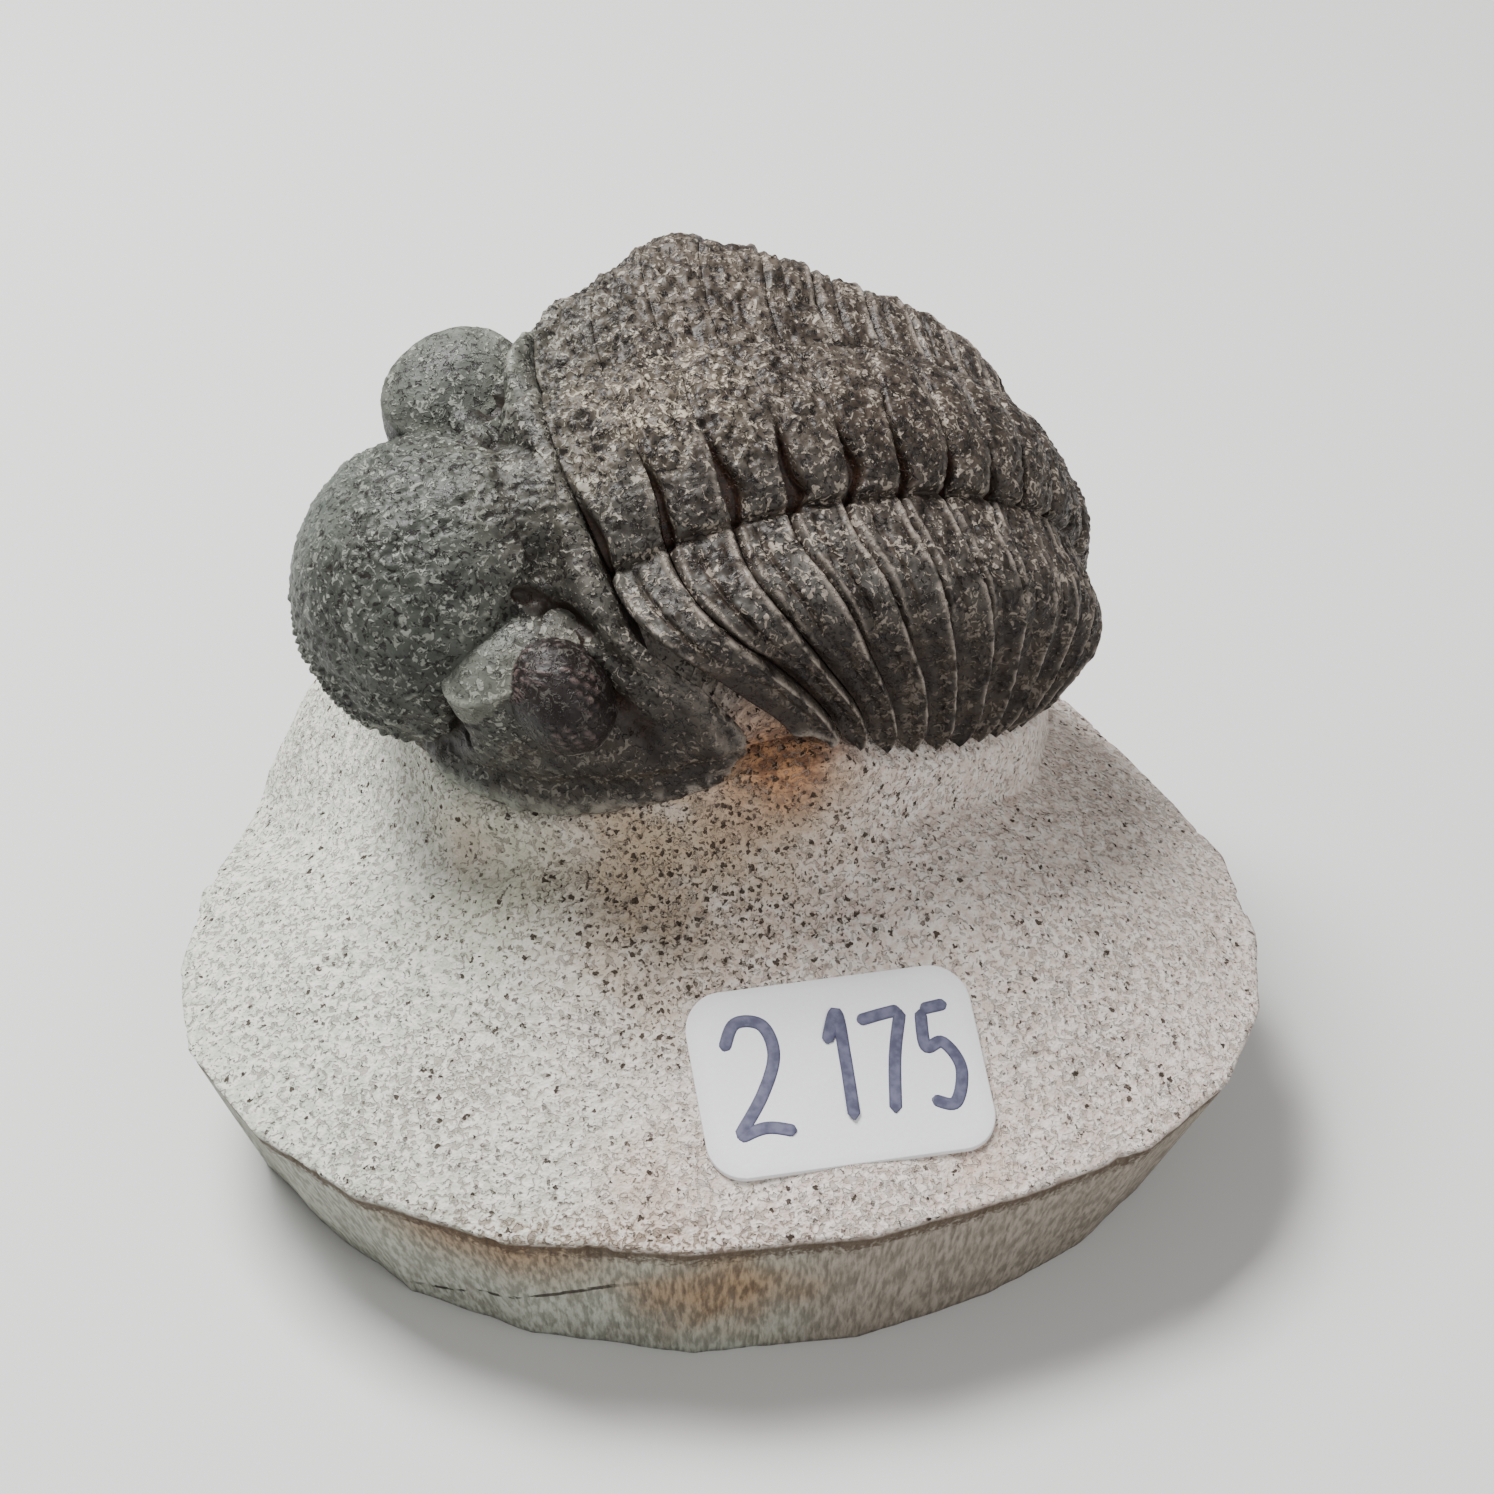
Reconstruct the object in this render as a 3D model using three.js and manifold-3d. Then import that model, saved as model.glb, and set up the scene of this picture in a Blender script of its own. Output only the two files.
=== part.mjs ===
// A trilobite in its matrix: a half rolled-up animal with large compound eyes, cleaned out of pale
// limestone and left standing on a pedestal above a sawn, oval slab. A paper label sits on the slope.
//
// Millimetres, +Z up. The origin is the middle of the slab's flat underside. +X runs along the slab's
// longest side, towards the animal's tail; -Y is the side that carries the label.

import * as THREE from 'three';
import { mergeVertices } from 'three/addons/utils/BufferGeometryUtils.js';
import Module from 'manifold-3d';

const wasm = await Module();
wasm.setup();

// Stone slab and mound
const SLAB_HEIGHT = 12;        // sawn side, from the underside to the rim
const MOUND_SLOPE = 0.5;       // rise of the mound per millimetre from the rim inwards
const MOUND_TOP = 27;          // the mound ends here, inside the pedestal
const MOUND_RINGS = [1, 0.85, 0.6, 0.35, 0.15];  // shares of the way from the middle to the rim
const RIM_DIVISIONS = 2;       // each saw cut is divided, so that the mound above it can be round
const STONE_MIDDLE = [0, 4];   // the pedestal widens away from here, x and y

// Wall of the pedestal under the edge of its shelf: how far down, how far out by then, and the
// height at which it is sunk into the mound and goes down no further
const PEDESTAL_WALL = [[4, 0.8, 13.6], [9, 3, 13.2], [15, 7.5, 12.8], [22, 12, 12.4]];
const END_FLARE = 0.1;         // share of the flare where the wall faces the tail's end of the slab
const END_FACING = [0.2, 0.8]; // it does so more and more as the wall's outward x goes up from here
const SHELF_OUT = 1.8;         // the shelf under the tips reaches this far past the rock's own edge
const SHELF_EASING = 1;        // the shelf's corners are eased over this many points to each side
const WALL_EASING = 2;
const SHELF_DROP = 0.6;        // and falls by this much on its way out
const SHELF_END_DROP = 2;      // extra share of that drop under the head and the tail

// Corners of the sawn rim, anticlockwise from the right: x, y, and how far the saw cut leans in below
const RIM_CORNERS = [
  [35.7, -5, 4], [34.5, 3, 4], [30, 12.5, 4], [25, 21.5, 4], [17.5, 28.5, 3], [7, 32.5, 3],
  [-5, 33, 3], [-17, 28.8, 3], [-26.2, 19.5, 3], [-32, 10.5, 3.5], [-35.2, 0, 3.5],
  [-35.7, -8, 3.5], [-34.2, -15.5, 4], [-29, -23, 4.5], [-22.5, -28.2, 4], [-13.5, -32, 3.5],
  [-2, -33, 2.5], [9, -31.8, 2.5], [18.5, -28.4, 3], [26.5, -24.6, 4.5], [31.8, -19.3, 5],
  [34.9, -12.5, 4.5],
];

// Label: a 12 x 18 mm paper sticker with rounded corners, turned a little on the slope
const LABEL_LENGTH = 18;
const LABEL_WIDTH = 12;
const LABEL_CORNER = 2.4;
const LABEL_THICKNESS = 0.35;
const LABEL_LIFT = 0.45;       // its underside over the mound, which is slightly uneven
const LABEL_CENTRE = [7.2, -22.5];
const LABEL_TURN = 10.9;       // degrees

// Pose of the animal: where the top of its back stands, its heading and its roll towards the label
const BACK = [5, 2, 49.3];
const HEADING = 19;            // degrees, the tail points away from the label side
const ROLL = 22.5;             // degrees, the back leans to the label side
const BACK_AT = 0.35;          // share of the thorax length at which BACK lies

// Curl of the spine: pitch of the back in degrees, nose-down at the front and tail-down at the rear
const PITCH_FRONT = -24;
const CURL = [120, -96, 70];   // degrees gained with the first, second and third power of the way back

// Thorax
const SEGMENTS = 11;
const FIRST_SEGMENT = 4.4;     // length along the spine
const SEGMENT_SHRINK = 0.085;  // each segment is this much shorter than the one before
const AXIS_FRONT = 6.8;        // half width of the axial lobe
const AXIS_REAR = 4.3;
const AXIS_RISE = 0.45;        // height of the axial lobe as a share of its half width
const AXIS_TURN = 80;          // degrees of arc from the crest of the lobe to its furrow
const AXIS_LEAN = 0.6;         // its relief leans out by this share of the arch's own slope
const PLEURA_LENGTH = 17.5;    // from the axial furrow round to the tip
const FULCRUM = 4.5;           // distance from the axial furrow at which the pleura turns down
const SLOPE_INNER = 4;         // degrees below level, before the fulcrum
const SLOPE_OUTER = 71;        // degrees below level, at the tip
const BEND = [-1.5, 5.5];      // the turn begins and ends at these distances from the fulcrum
const REAR_SCALE = 0.85;       // pleurae of the last segment against the first
const MIDDLE_GAIN = 0.1;       // the pleurae of the middle segments are this much longer
const FAR_SPREAD = 3.3;        // most extra width of the far pleurae, on the third segment
const FAR_SPREAD_GAIN = [0.03, 0.25]; // shares of the thorax over which it comes and goes
const FAR_SPREAD_LOSS = [0.22, 0.62];
const SWEEP_FRONT = 8.2;       // how far the tips trail behind their segment
const SWEEP_REAR = 1.8;
const SWEEP_FROM = 0.05;       // share of the pleura at which it begins to trail
const TIP_SPREAD = 4.2;        // the tips stand this much further apart than the curl brings them
const SPREAD_MIDDLE = 0.3;     // share of the thorax whose tips stay where they are
const FIRST_REACH = 1.2;       // the first pleurae reach this much further forward
const FIRST_REACH_FROM = [0.6, 0.86]; // between these stations
const TIP_FROM = 0.86;         // the front corner of a tip is rounded from this station outwards
const TIP_ROUNDING = 0.45;     // and takes this share of the segment's width
const SHELL = 1.2;             // thickness of the plates
const JOINT_GAP = 0.3;         // open joint between plates, and between plates and rock

// Tail shield
const TAIL_LENGTH = 10;
const TAIL_RIBS = 6;
const TAIL_FURROW = -0.25;     // furrows and ribs of the tail, in height over the carapace
const TAIL_RIB = 0.35;
const TAIL_FADE = 0.6;         // share of that relief lost by the rear end
const TAIL_ROUNDING = 0.9;     // how far the tail's outline closes at its end

// Head shield, measured in the frame of the neck joint: x to the tail, y to the far side, z outwards
const HEAD_LENGTH = 18;
const HEAD_HALF_WIDTH = 16.6;
const HEAD_HEIGHT = 13;
const HEAD_MARGIN = -14.5;     // height of the lower edge of the shield
const GENAL_SWEEP = 3.6;       // the rear corners of the head reach this far behind the neck
const CHEEK_SWEEP_FROM = 0.58; // share of the half width at which the cheeks begin to do so
const CORNER_CUT = 11.46;      // and are cut slantwise, where x - z comes to this
const GLABELLA_CENTRE = [-11.1, 0.5, -8.5];
const GLABELLA_RADII = [9.5, 9.9, 9.6];
const CHEEK_CENTRE = [-4, 11.4, -12.2];
const CHEEK_RADII = [3.6, 5.2, 5];
const NEAR_EYE = [-7.9, -11.4, -7.2]; // the near eye stands further forward, as the head is skewed
const FAR_EYE = [-5.6, 11.4, -7.2];
const EYE_LENGTH = 9.8;
const EYE_WIDTH = 6.6;
const EYE_HEIGHT = 4;
const LENS_DOME_CENTRE = [2.2, 0.9, 1.7]; // from the middle of the eye: towards its outer rear
const LENS_DOME_RADII = [2.8, 3, 3.3];
const EYE_TURN = 14;           // degrees, the front of each eye is nearer to the middle
const EYE_BOW = 0.25;          // bow of its kidney shape as a share of its half width

// Turret of an eye from its foot to its lid: share of the outline, share of the height
const EYE_PROFILE = [[0, 0], [0.98, 0], [0.86, 0.18], [0.94, 0.5], [0.98, 0.78], [0.8, 0.93], [0, 1]];

// Swelling behind the glabella, and the two nodes between it and the neck ring
const FOREHEAD_CENTRE = [-7.6, 0, -7];
const FOREHEAD_RADII = [7.3, 6.9, 7.3];
const NODE_CENTRE = [-5.2, 5.5, -3.4];
const NODE_RADII = [1.5, 1.7, 1.5];

// Ridges that cross the head: place, half width and height of the arch they follow, level of the
// arch's foot, degrees of arc to each side, and half sizes of the ridge
const NECK_RING = {
  x: -1.6, width: 6.2, height: 3.6, foot: -3.9, limit: 80, halfWidth: 1.4, halfHeight: 1.1,
};
const BORDER_RIDGE = {
  x: -1.5,
  width: HEAD_HALF_WIDTH - 0.6,
  height: HEAD_HEIGHT - 0.6,
  foot: HEAD_MARGIN,
  limit: 78,
  halfWidth: 1.3,
  halfHeight: 1.1,
};

// Bed of rock under the carapace, a little wider than the plates. Under the head it is given row by
// row from the front, and the rows at the neck joint lie deeper.
const BED_EDGE = 1 + 2 * JOINT_GAP / PLEURA_LENGTH;
const HEAD_BED_ROWS = [-14.5, -12.5, -9, -5, -0.3];
const NECK_BED_ROWS = [0.3, 2.4];
const TAIL_BED_ROWS = [0.5, 0.8, 0.95]; // shares of the tail's length
const NECK_DEPTH = 5.5;
const HEAD_BED_CREST = -7;
const CHEEK_BED = [0.38, 0.7];     // stations between which the bed makes room for the cheeks
const HEAD_CLEARANCE = 0.45;       // joint between the head and the rock under it

const LARGE_BALL_FACETS = 16;  // facets round the swellings of the head
const SMALL_BALL_FACETS = 10;
const AXIS_STEPS = 4;          // facets from the crest to the axial furrow
const PLEURA_STEPS = 7;        // facets from the axial furrow to the tip

const radians = THREE.MathUtils.degToRad;
const smoothstep = THREE.MathUtils.smoothstep;
const lerp = THREE.MathUtils.lerp;

const THORAX_LENGTH = SEGMENTS * FIRST_SEGMENT - SEGMENT_SHRINK * SEGMENTS * (SEGMENTS - 1) / 2;

// Distance along the spine from the head to the front edge of a segment, counted from 0
function segmentStart(index) {
  return index * FIRST_SEGMENT - SEGMENT_SHRINK * index * (index - 1) / 2;
}

// Pitch of the back in radians at a distance along the spine
function spinePitch(along) {
  const u = Math.max(along / THORAX_LENGTH, 0);
  return radians(PITCH_FRONT + CURL[0] * u + CURL[1] * u ** 2 + CURL[2] * u ** 3);
}

// Point of the crest of the back, found by walking along the spine in short steps
function spinePoint(along) {
  const steps = 60;
  const step = along / steps;
  let x = 0;
  let z = 0;
  for (let i = 0; i < steps; i += 1) {
    const pitch = spinePitch((i + 0.5) * step);
    x += Math.cos(pitch) * step;
    z -= Math.sin(pitch) * step;
  }
  return { x, z, pitch: spinePitch(along) };
}

// Shape of a pleura seen from behind: [out, down, slope] at even steps from the axial furrow
function tracePleura() {
  const samples = 36;
  const step = PLEURA_LENGTH / samples;
  const trace = [];
  let out = 0;
  let down = 0;
  for (let i = 0; i <= samples; i += 1) {
    const bend = smoothstep(i * step - FULCRUM, ...BEND);
    const slope = radians(lerp(SLOPE_INNER, SLOPE_OUTER, bend));
    trace.push([out, down, slope]);
    out += Math.cos(slope) * step;
    down += Math.sin(slope) * step;
  }
  return trace;
}

const PLEURA_TRACE = tracePleura();

// Pleura point at a share of its length, read between two samples of the trace
function pleuraPoint(share) {
  const place = share * (PLEURA_TRACE.length - 1);
  const index = Math.min(Math.floor(place), PLEURA_TRACE.length - 2);
  const rest = place - index;
  return PLEURA_TRACE[index].map((value, k) => lerp(value, PLEURA_TRACE[index + 1][k], rest));
}

// The body narrows evenly over the thorax, and round to the end over the tail shield
function bodyScale(along) {
  const u = Math.min(Math.max(along / THORAX_LENGTH, 0), 1);
  const beyond = Math.max(along - THORAX_LENGTH, 0) / (TAIL_LENGTH + 1);
  const thorax = lerp(1, REAR_SCALE, u * u) + MIDDLE_GAIN * Math.sin(Math.PI * u);
  return thorax * Math.sqrt(1 - TAIL_ROUNDING * beyond * beyond);
}

// A point of the carapace in the animal's frame. across runs from -1 (near tip) over 0 (crest) to 1
// (far tip); the first AXIS_SHARE of it is the axial lobe. lift moves it along the outward normal.
const AXIS_SHARE = AXIS_STEPS / (AXIS_STEPS + PLEURA_STEPS);

function carapacePoint(along, across, lift) {
  const side = Math.sign(across);
  const t = Math.abs(across);
  const u = Math.min(Math.max(along / THORAX_LENGTH, 0), 1);
  const scale = bodyScale(along);
  const tailScale = along > THORAX_LENGTH ? Math.sqrt(scale / REAR_SCALE) : 1;
  const axis = lerp(AXIS_FRONT, AXIS_REAR, u) * tailScale;
  let y;
  let z;
  let slope;
  if (t <= AXIS_SHARE) {
    const turn = radians(AXIS_TURN) * t / AXIS_SHARE;
    y = axis * Math.sin(turn) / Math.sin(radians(AXIS_TURN));
    z = -AXIS_RISE * axis * (1 - Math.cos(turn));
    slope = Math.atan(AXIS_RISE * Math.tan(turn) * AXIS_LEAN);
  } else {
    const [out, down, pleuraSlope] = pleuraPoint((t - AXIS_SHARE) / (1 - AXIS_SHARE));
    const bulge = side > 0 ? FAR_SPREAD * smoothstep(u, ...FAR_SPREAD_GAIN) : 0;
    const widening = bulge * (1 - smoothstep(u, ...FAR_SPREAD_LOSS)) * Math.min(out / FULCRUM, 1);
    y = axis + out * scale + widening;
    z = -AXIS_RISE * axis - down * scale;
    slope = pleuraSlope;
  }
  y += lift * Math.sin(slope);
  z += lift * Math.cos(slope);
  const share = Math.max(t - AXIS_SHARE, 0) / (1 - AXIS_SHARE);
  const towardsTip = smoothstep(share, SWEEP_FROM, 1);
  const sweep = lerp(SWEEP_FRONT, SWEEP_REAR, u) * towardsTip;
  const spread = TIP_SPREAD * (u - SPREAD_MIDDLE) * towardsTip;
  const spine = spinePoint(along);
  return new THREE.Vector3(
    spine.x + z * Math.sin(spine.pitch) + sweep * Math.cos(spine.pitch) + spread,
    side * y,
    spine.z + z * Math.cos(spine.pitch) - sweep * Math.sin(spine.pitch),
  );
}

// Stations from the near tip to the far tip, closer together where the body turns
function acrossStations() {
  const count = AXIS_STEPS + PLEURA_STEPS;
  const stations = [];
  for (let i = -count; i <= count; i += 1) {
    stations.push(i / count);
  }
  return stations;
}

const STATIONS = acrossStations();

// Closed solid from a row of closed loops with the same number of points, its ends capped by fans
function loftLoops(loops) {
  const size = loops[0].length;
  const positions = [];
  const indices = [];
  for (const loop of loops) {
    for (const point of loop) {
      positions.push(point.x, point.y, point.z);
    }
  }
  for (let row = 0; row < loops.length - 1; row += 1) {
    for (let i = 0; i < size; i += 1) {
      const a = row * size + i;
      const b = row * size + (i + 1) % size;
      indices.push(a, b, a + size, b, b + size, a + size);
    }
  }
  capLoop(positions, indices, loops[0], 0, true);
  capLoop(positions, indices, loops[loops.length - 1], (loops.length - 1) * size, false);
  return solidGeometry(positions, indices);
}

// Fan from the middle of a loop, turned over for the first loop
function capLoop(positions, indices, loop, start, flipped) {
  const middle = new THREE.Vector3();
  for (const point of loop) {
    middle.addScaledVector(point, 1 / loop.length);
  }
  const hub = positions.length / 3;
  positions.push(middle.x, middle.y, middle.z);
  for (let i = 0; i < loop.length; i += 1) {
    const a = start + i;
    const b = start + (i + 1) % loop.length;
    indices.push(...(flipped ? [hub, b, a] : [hub, a, b]));
  }
}

function solidGeometry(positions, indices) {
  const geometry = new THREE.BufferGeometry();
  geometry.setAttribute('position', new THREE.Float32BufferAttribute(positions, 3));
  geometry.setIndex(indices);
  return outwardFaces(geometry);
}

// Turns every face over if the mesh encloses a negative volume
function outwardFaces(geometry) {
  const position = geometry.getAttribute('position');
  const index = geometry.getIndex();
  const [a, b, c] = [new THREE.Vector3(), new THREE.Vector3(), new THREE.Vector3()];
  let volume = 0;
  for (let i = 0; i < index.count; i += 3) {
    a.fromBufferAttribute(position, index.getX(i));
    b.fromBufferAttribute(position, index.getX(i + 1));
    c.fromBufferAttribute(position, index.getX(i + 2));
    volume += a.dot(b.cross(c));
  }
  if (volume < 0) {
    for (let i = 0; i < index.count; i += 3) {
      const first = index.getX(i);
      index.setX(i, index.getX(i + 1));
      index.setX(i + 1, first);
    }
  }
  return geometry;
}

// Solid for joining and cutting, from a closed geometry
function toSolid(geometry) {
  const plain = geometry.clone();
  plain.deleteAttribute('normal');
  plain.deleteAttribute('uv');
  const merged = mergeVertices(plain, 1e-4);
  return new wasm.Manifold(new wasm.Mesh({
    numProp: 3,
    vertProperties: new Float32Array(merged.getAttribute('position').array),
    triVerts: new Uint32Array(merged.getIndex().array),
  }));
}

function fromSolid(solid) {
  const mesh = solid.getMesh();
  const geometry = new THREE.BufferGeometry();
  geometry.setAttribute('position', new THREE.BufferAttribute(mesh.vertProperties, 3));
  geometry.setIndex(new THREE.BufferAttribute(mesh.triVerts, 1));
  return geometry;
}

// Relief of one segment from its front edge (0) to its rear edge (1), in millimetres above the
// carapace: the axial ring behind its hollow, and the two bands of the pleura with the furrow between
const SEGMENT_RELIEF = [
  { place: 0.00, ring: -0.9, pleura: -0.2 },
  { place: 0.12, ring: -0.9, pleura: 0.3 },
  { place: 0.32, ring: 0.1, pleura: -0.4 },
  { place: 0.52, ring: 0.5, pleura: 0.35 },
  { place: 0.78, ring: 0.5, pleura: 0.3 },
  { place: 1.00, ring: 0.0, pleura: -0.35 },
];

// Share of the pleura's relief at a station: none on the axis, full to near the tip, none at the tip
function pleuraShare(across) {
  return smoothstep(Math.abs(across), AXIS_SHARE - 0.02, AXIS_SHARE + 0.06);
}

function segmentLift(relief, across) {
  const fade = 1 - smoothstep(Math.abs(across), 0.8, 1);
  return lerp(relief.ring, relief.pleura * fade, pleuraShare(across));
}

// Front and rear edge of a segment at a station. The gap is widened where the curl closes it, and
// the front corner of the tip is rounded off. reach brings the front edge of the pleurae forward.
function segmentEdges(start, end, across, reach) {
  const closer = carapacePoint(start, across, 0).distanceTo(carapacePoint(end, across, 0));
  const halfGap = JOINT_GAP / 2 * (end - start) / closer;
  const width = end - start - 2 * halfGap;
  const rounding = TIP_ROUNDING * width * smoothstep(Math.abs(across), TIP_FROM, 1);
  const forward = reach * smoothstep(Math.abs(across), ...FIRST_REACH_FROM);
  return [start + halfGap + rounding - forward, end - halfGap];
}

function segmentGeometry(index) {
  const start = segmentStart(index);
  const end = segmentStart(index + 1);
  const reach = index === 0 ? FIRST_REACH : 0;
  const loops = STATIONS.map((across) => {
    const [front, rear] = segmentEdges(start, end, across, reach);
    const outer = SEGMENT_RELIEF.map((relief) => (
      carapacePoint(lerp(front, rear, relief.place), across, segmentLift(relief, across))
    ));
    const under = [1, 0].map((place) => carapacePoint(lerp(front, rear, place), across, -SHELL));
    return [...outer, ...under];
  });
  return loftLoops(loops);
}

// The tail shield is one plate: the ribs are a wave along the spine that fades at the rear
function tailGeometry() {
  const start = THORAX_LENGTH + JOINT_GAP / 2;
  const end = THORAX_LENGTH + TAIL_LENGTH;
  const samples = TAIL_RIBS * 2;
  const loops = STATIONS.map((across) => {
    const outer = [];
    for (let i = 0; i <= samples; i += 1) {
      const fade = 1 - TAIL_FADE * i / samples;
      const wave = i % 2 === 0 ? TAIL_FURROW : TAIL_RIB;
      outer.push(carapacePoint(lerp(start, end, i / samples), across, wave * fade));
    }
    const under = [1, 0.66, 0.33, 0].map((place) => (
      carapacePoint(lerp(start, end, place), across, -SHELL)
    ));
    return [...outer, ...under];
  });
  return loftLoops(loops);
}

// Frame of the animal in the world, and the frame of the head in the animal
function animalMatrix() {
  const turn = new THREE.Matrix4().makeRotationZ(radians(HEADING));
  const roll = new THREE.Matrix4().makeRotationX(radians(ROLL));
  const frame = turn.multiply(roll);
  const back = spinePoint(BACK_AT * THORAX_LENGTH);
  const offset = new THREE.Vector3(back.x, 0, back.z).applyMatrix4(frame);
  return frame.setPosition(new THREE.Vector3(...BACK).sub(offset));
}

const ANIMAL = animalMatrix();
const HEAD = new THREE.Matrix4().makeRotationY(radians(PITCH_FRONT));

// Distance from the middle of the slab to its rim in one direction
function rimRadius(angle) {
  const direction = [Math.cos(angle), Math.sin(angle)];
  for (let i = 0; i < RIM_CORNERS.length; i += 1) {
    const [ax, ay] = RIM_CORNERS[i];
    const [bx, by] = RIM_CORNERS[(i + 1) % RIM_CORNERS.length];
    const sideA = direction[0] * ay - direction[1] * ax;
    const sideB = direction[0] * by - direction[1] * bx;
    if (sideA <= 0 && sideB > 0) {
      const share = sideA / (sideA - sideB);
      return Math.hypot(lerp(ax, bx, share), lerp(ay, by, share));
    }
  }
  throw new Error('the rim does not close');
}

// Height of the mound over a point of the slab
function moundHeight(x, y) {
  const inwards = rimRadius(Math.atan2(y, x)) - Math.hypot(x, y);
  return Math.min(SLAB_HEIGHT + MOUND_SLOPE * inwards, MOUND_TOP);
}

// The rim with each straight saw cut divided evenly
function rimPoints() {
  const points = [];
  for (let i = 0; i < RIM_CORNERS.length; i += 1) {
    const from = RIM_CORNERS[i];
    const to = RIM_CORNERS[(i + 1) % RIM_CORNERS.length];
    for (let k = 0; k < RIM_DIVISIONS; k += 1) {
      points.push(from.map((value, axis) => lerp(value, to[axis], k / RIM_DIVISIONS)));
    }
  }
  return points;
}

function slabGeometry() {
  const rim = rimPoints();
  const underside = rim.map(([x, y, lean]) => {
    const inset = 1 - lean / Math.hypot(x, y);
    return new THREE.Vector3(x * inset, y * inset, 0);
  });
  const rings = MOUND_RINGS.map((share) => rim.map(([x, y]) => (
    new THREE.Vector3(x * share, y * share, moundHeight(x * share, y * share))
  )));
  return loftLoops([underside, ...rings]);
}

// Pulls the rear corners of the head back, in the head's frame: only the outer half of the cheeks
// moves, and there the part behind the eyes
function sweepBack(point) {
  const outer = smoothstep(Math.abs(point.y), CHEEK_SWEEP_FROM * HEAD_HALF_WIDTH, HEAD_HALF_WIDTH);
  const rear = smoothstep(point.x, -0.6 * HEAD_LENGTH, 0);
  point.x += GENAL_SWEEP * outer * rear;
  return point;
}

// Point of the bed in the animal's frame. Behind the neck it follows the plates; under the head it
// narrows to the front and sinks to the edge of the shield.
function bedPoint(along, across) {
  if (along < 0) {
    return sweepBack(headBedPoint(along, across, 0)).applyMatrix4(HEAD);
  }
  const arch = Math.cos(across / BED_EDGE * Math.PI / 2);
  const neck = NECK_DEPTH * arch * (1 - smoothstep(along, ...NECK_BED_ROWS));
  const nearNeck = 1 - smoothstep(along, 0, 3 * GENAL_SWEEP);
  const cheek = smoothstep(Math.abs(across), ...CHEEK_BED) * nearNeck;
  return carapacePoint(along + cheek * GENAL_SWEEP, across, -SHELL - JOINT_GAP - neck);
}

// Rock under the head, in the head's frame: an arch that narrows and sinks towards the front
function headBedPoint(along, across, clearance) {
  const turn = across / BED_EDGE * Math.PI / 2;
  const width = Math.sqrt(1 - (along / HEAD_LENGTH) ** 2) * (HEAD_HALF_WIDTH - SHELL - JOINT_GAP);
  const rise = Math.cos(turn) * smoothstep(along, -HEAD_LENGTH, -2);
  const z = lerp(HEAD_MARGIN, HEAD_BED_CREST, rise) + clearance;
  return new THREE.Vector3(along, (width + clearance) * Math.sin(turn), z);
}

function bedRows() {
  const rows = [...HEAD_BED_ROWS, ...NECK_BED_ROWS];
  for (let index = 1; index <= SEGMENTS; index += 1) {
    rows.push(segmentStart(index));
  }
  for (const share of TAIL_BED_ROWS) {
    rows.push(THORAX_LENGTH + TAIL_LENGTH * share);
  }
  rows.push(THORAX_LENGTH + TAIL_LENGTH + 2 * JOINT_GAP);
  return rows;
}

// Pedestal with its bed on top, in the world's frame: the edge of the bed steps out under the tips
// of the plates, and widens from there down into the mound
function pedestalGeometry() {
  const rows = bedRows();
  const columns = STATIONS.map((across) => across * BED_EDGE);
  const positions = [];
  const indices = [];
  for (const along of rows) {
    for (const across of columns) {
      const point = bedPoint(along, across).applyMatrix4(ANIMAL);
      positions.push(point.x, point.y, point.z);
    }
  }
  const width = columns.length;
  for (let row = 0; row < rows.length - 1; row += 1) {
    for (let column = 0; column < width - 1; column += 1) {
      const a = row * width + column;
      indices.push(a, a + 1, a + width, a + 1, a + width + 1, a + width);
    }
  }
  const edge = gridEdge(rows.length, width);
  const outline = edge.map((index) => new THREE.Vector3().fromArray(positions, index * 3));
  const shelf = shelfLoop(outline);
  const walls = PEDESTAL_WALL.map(([down, , lowest]) => wallLoop(shelf, down, lowest));
  const rings = [shelf, ...walls];
  let previous = edge;
  for (const ring of rings) {
    const start = positions.length / 3;
    const current = ring.map((point, i) => start + i);
    for (const point of ring) {
      positions.push(point.x, point.y, point.z);
    }
    for (let i = 0; i < edge.length; i += 1) {
      const k = (i + 1) % edge.length;
      indices.push(previous[i], previous[k], current[i], previous[k], current[k], current[i]);
    }
    previous = current;
  }
  capLoop(positions, indices, rings[rings.length - 1], previous[0], false);
  return solidGeometry(positions, indices);
}

// Indices round the edge of a grid
function gridEdge(rows, columns) {
  const edge = [];
  for (let row = 0; row < rows; row += 1) {
    edge.push(row * columns);
  }
  for (let column = 1; column < columns; column += 1) {
    edge.push((rows - 1) * columns + column);
  }
  for (let row = rows - 2; row >= 0; row -= 1) {
    edge.push(row * columns + columns - 1);
  }
  for (let column = columns - 2; column > 0; column -= 1) {
    edge.push(column);
  }
  return edge;
}

// Direction in plan from the middle of the stone to a point
function awayFromMiddle(point) {
  return new THREE.Vector3(point.x - STONE_MIDDLE[0], point.y - STONE_MIDDLE[1], 0).normalize();
}

// Running mean round a closed loop of points
function easeLoop(loop, reach) {
  return loop.map((point, i) => {
    const eased = new THREE.Vector3();
    for (let k = -reach; k <= reach; k += 1) {
      eased.addScaledVector(loop[(i + k + loop.length) % loop.length], 1 / (2 * reach + 1));
    }
    return eased;
  });
}

// The shelf's edge: outside the edge of the bed, and a little lower
function shelfLoop(outline) {
  const stepped = outline.map((point) => {
    const outwards = awayFromMiddle(point);
    const drop = SHELF_DROP * (1 + SHELF_END_DROP * Math.abs(outwards.x));
    return point.clone().addScaledVector(outwards, SHELF_OUT).setZ(point.z - drop);
  });
  return easeLoop(stepped, SHELF_EASING);
}

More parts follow.
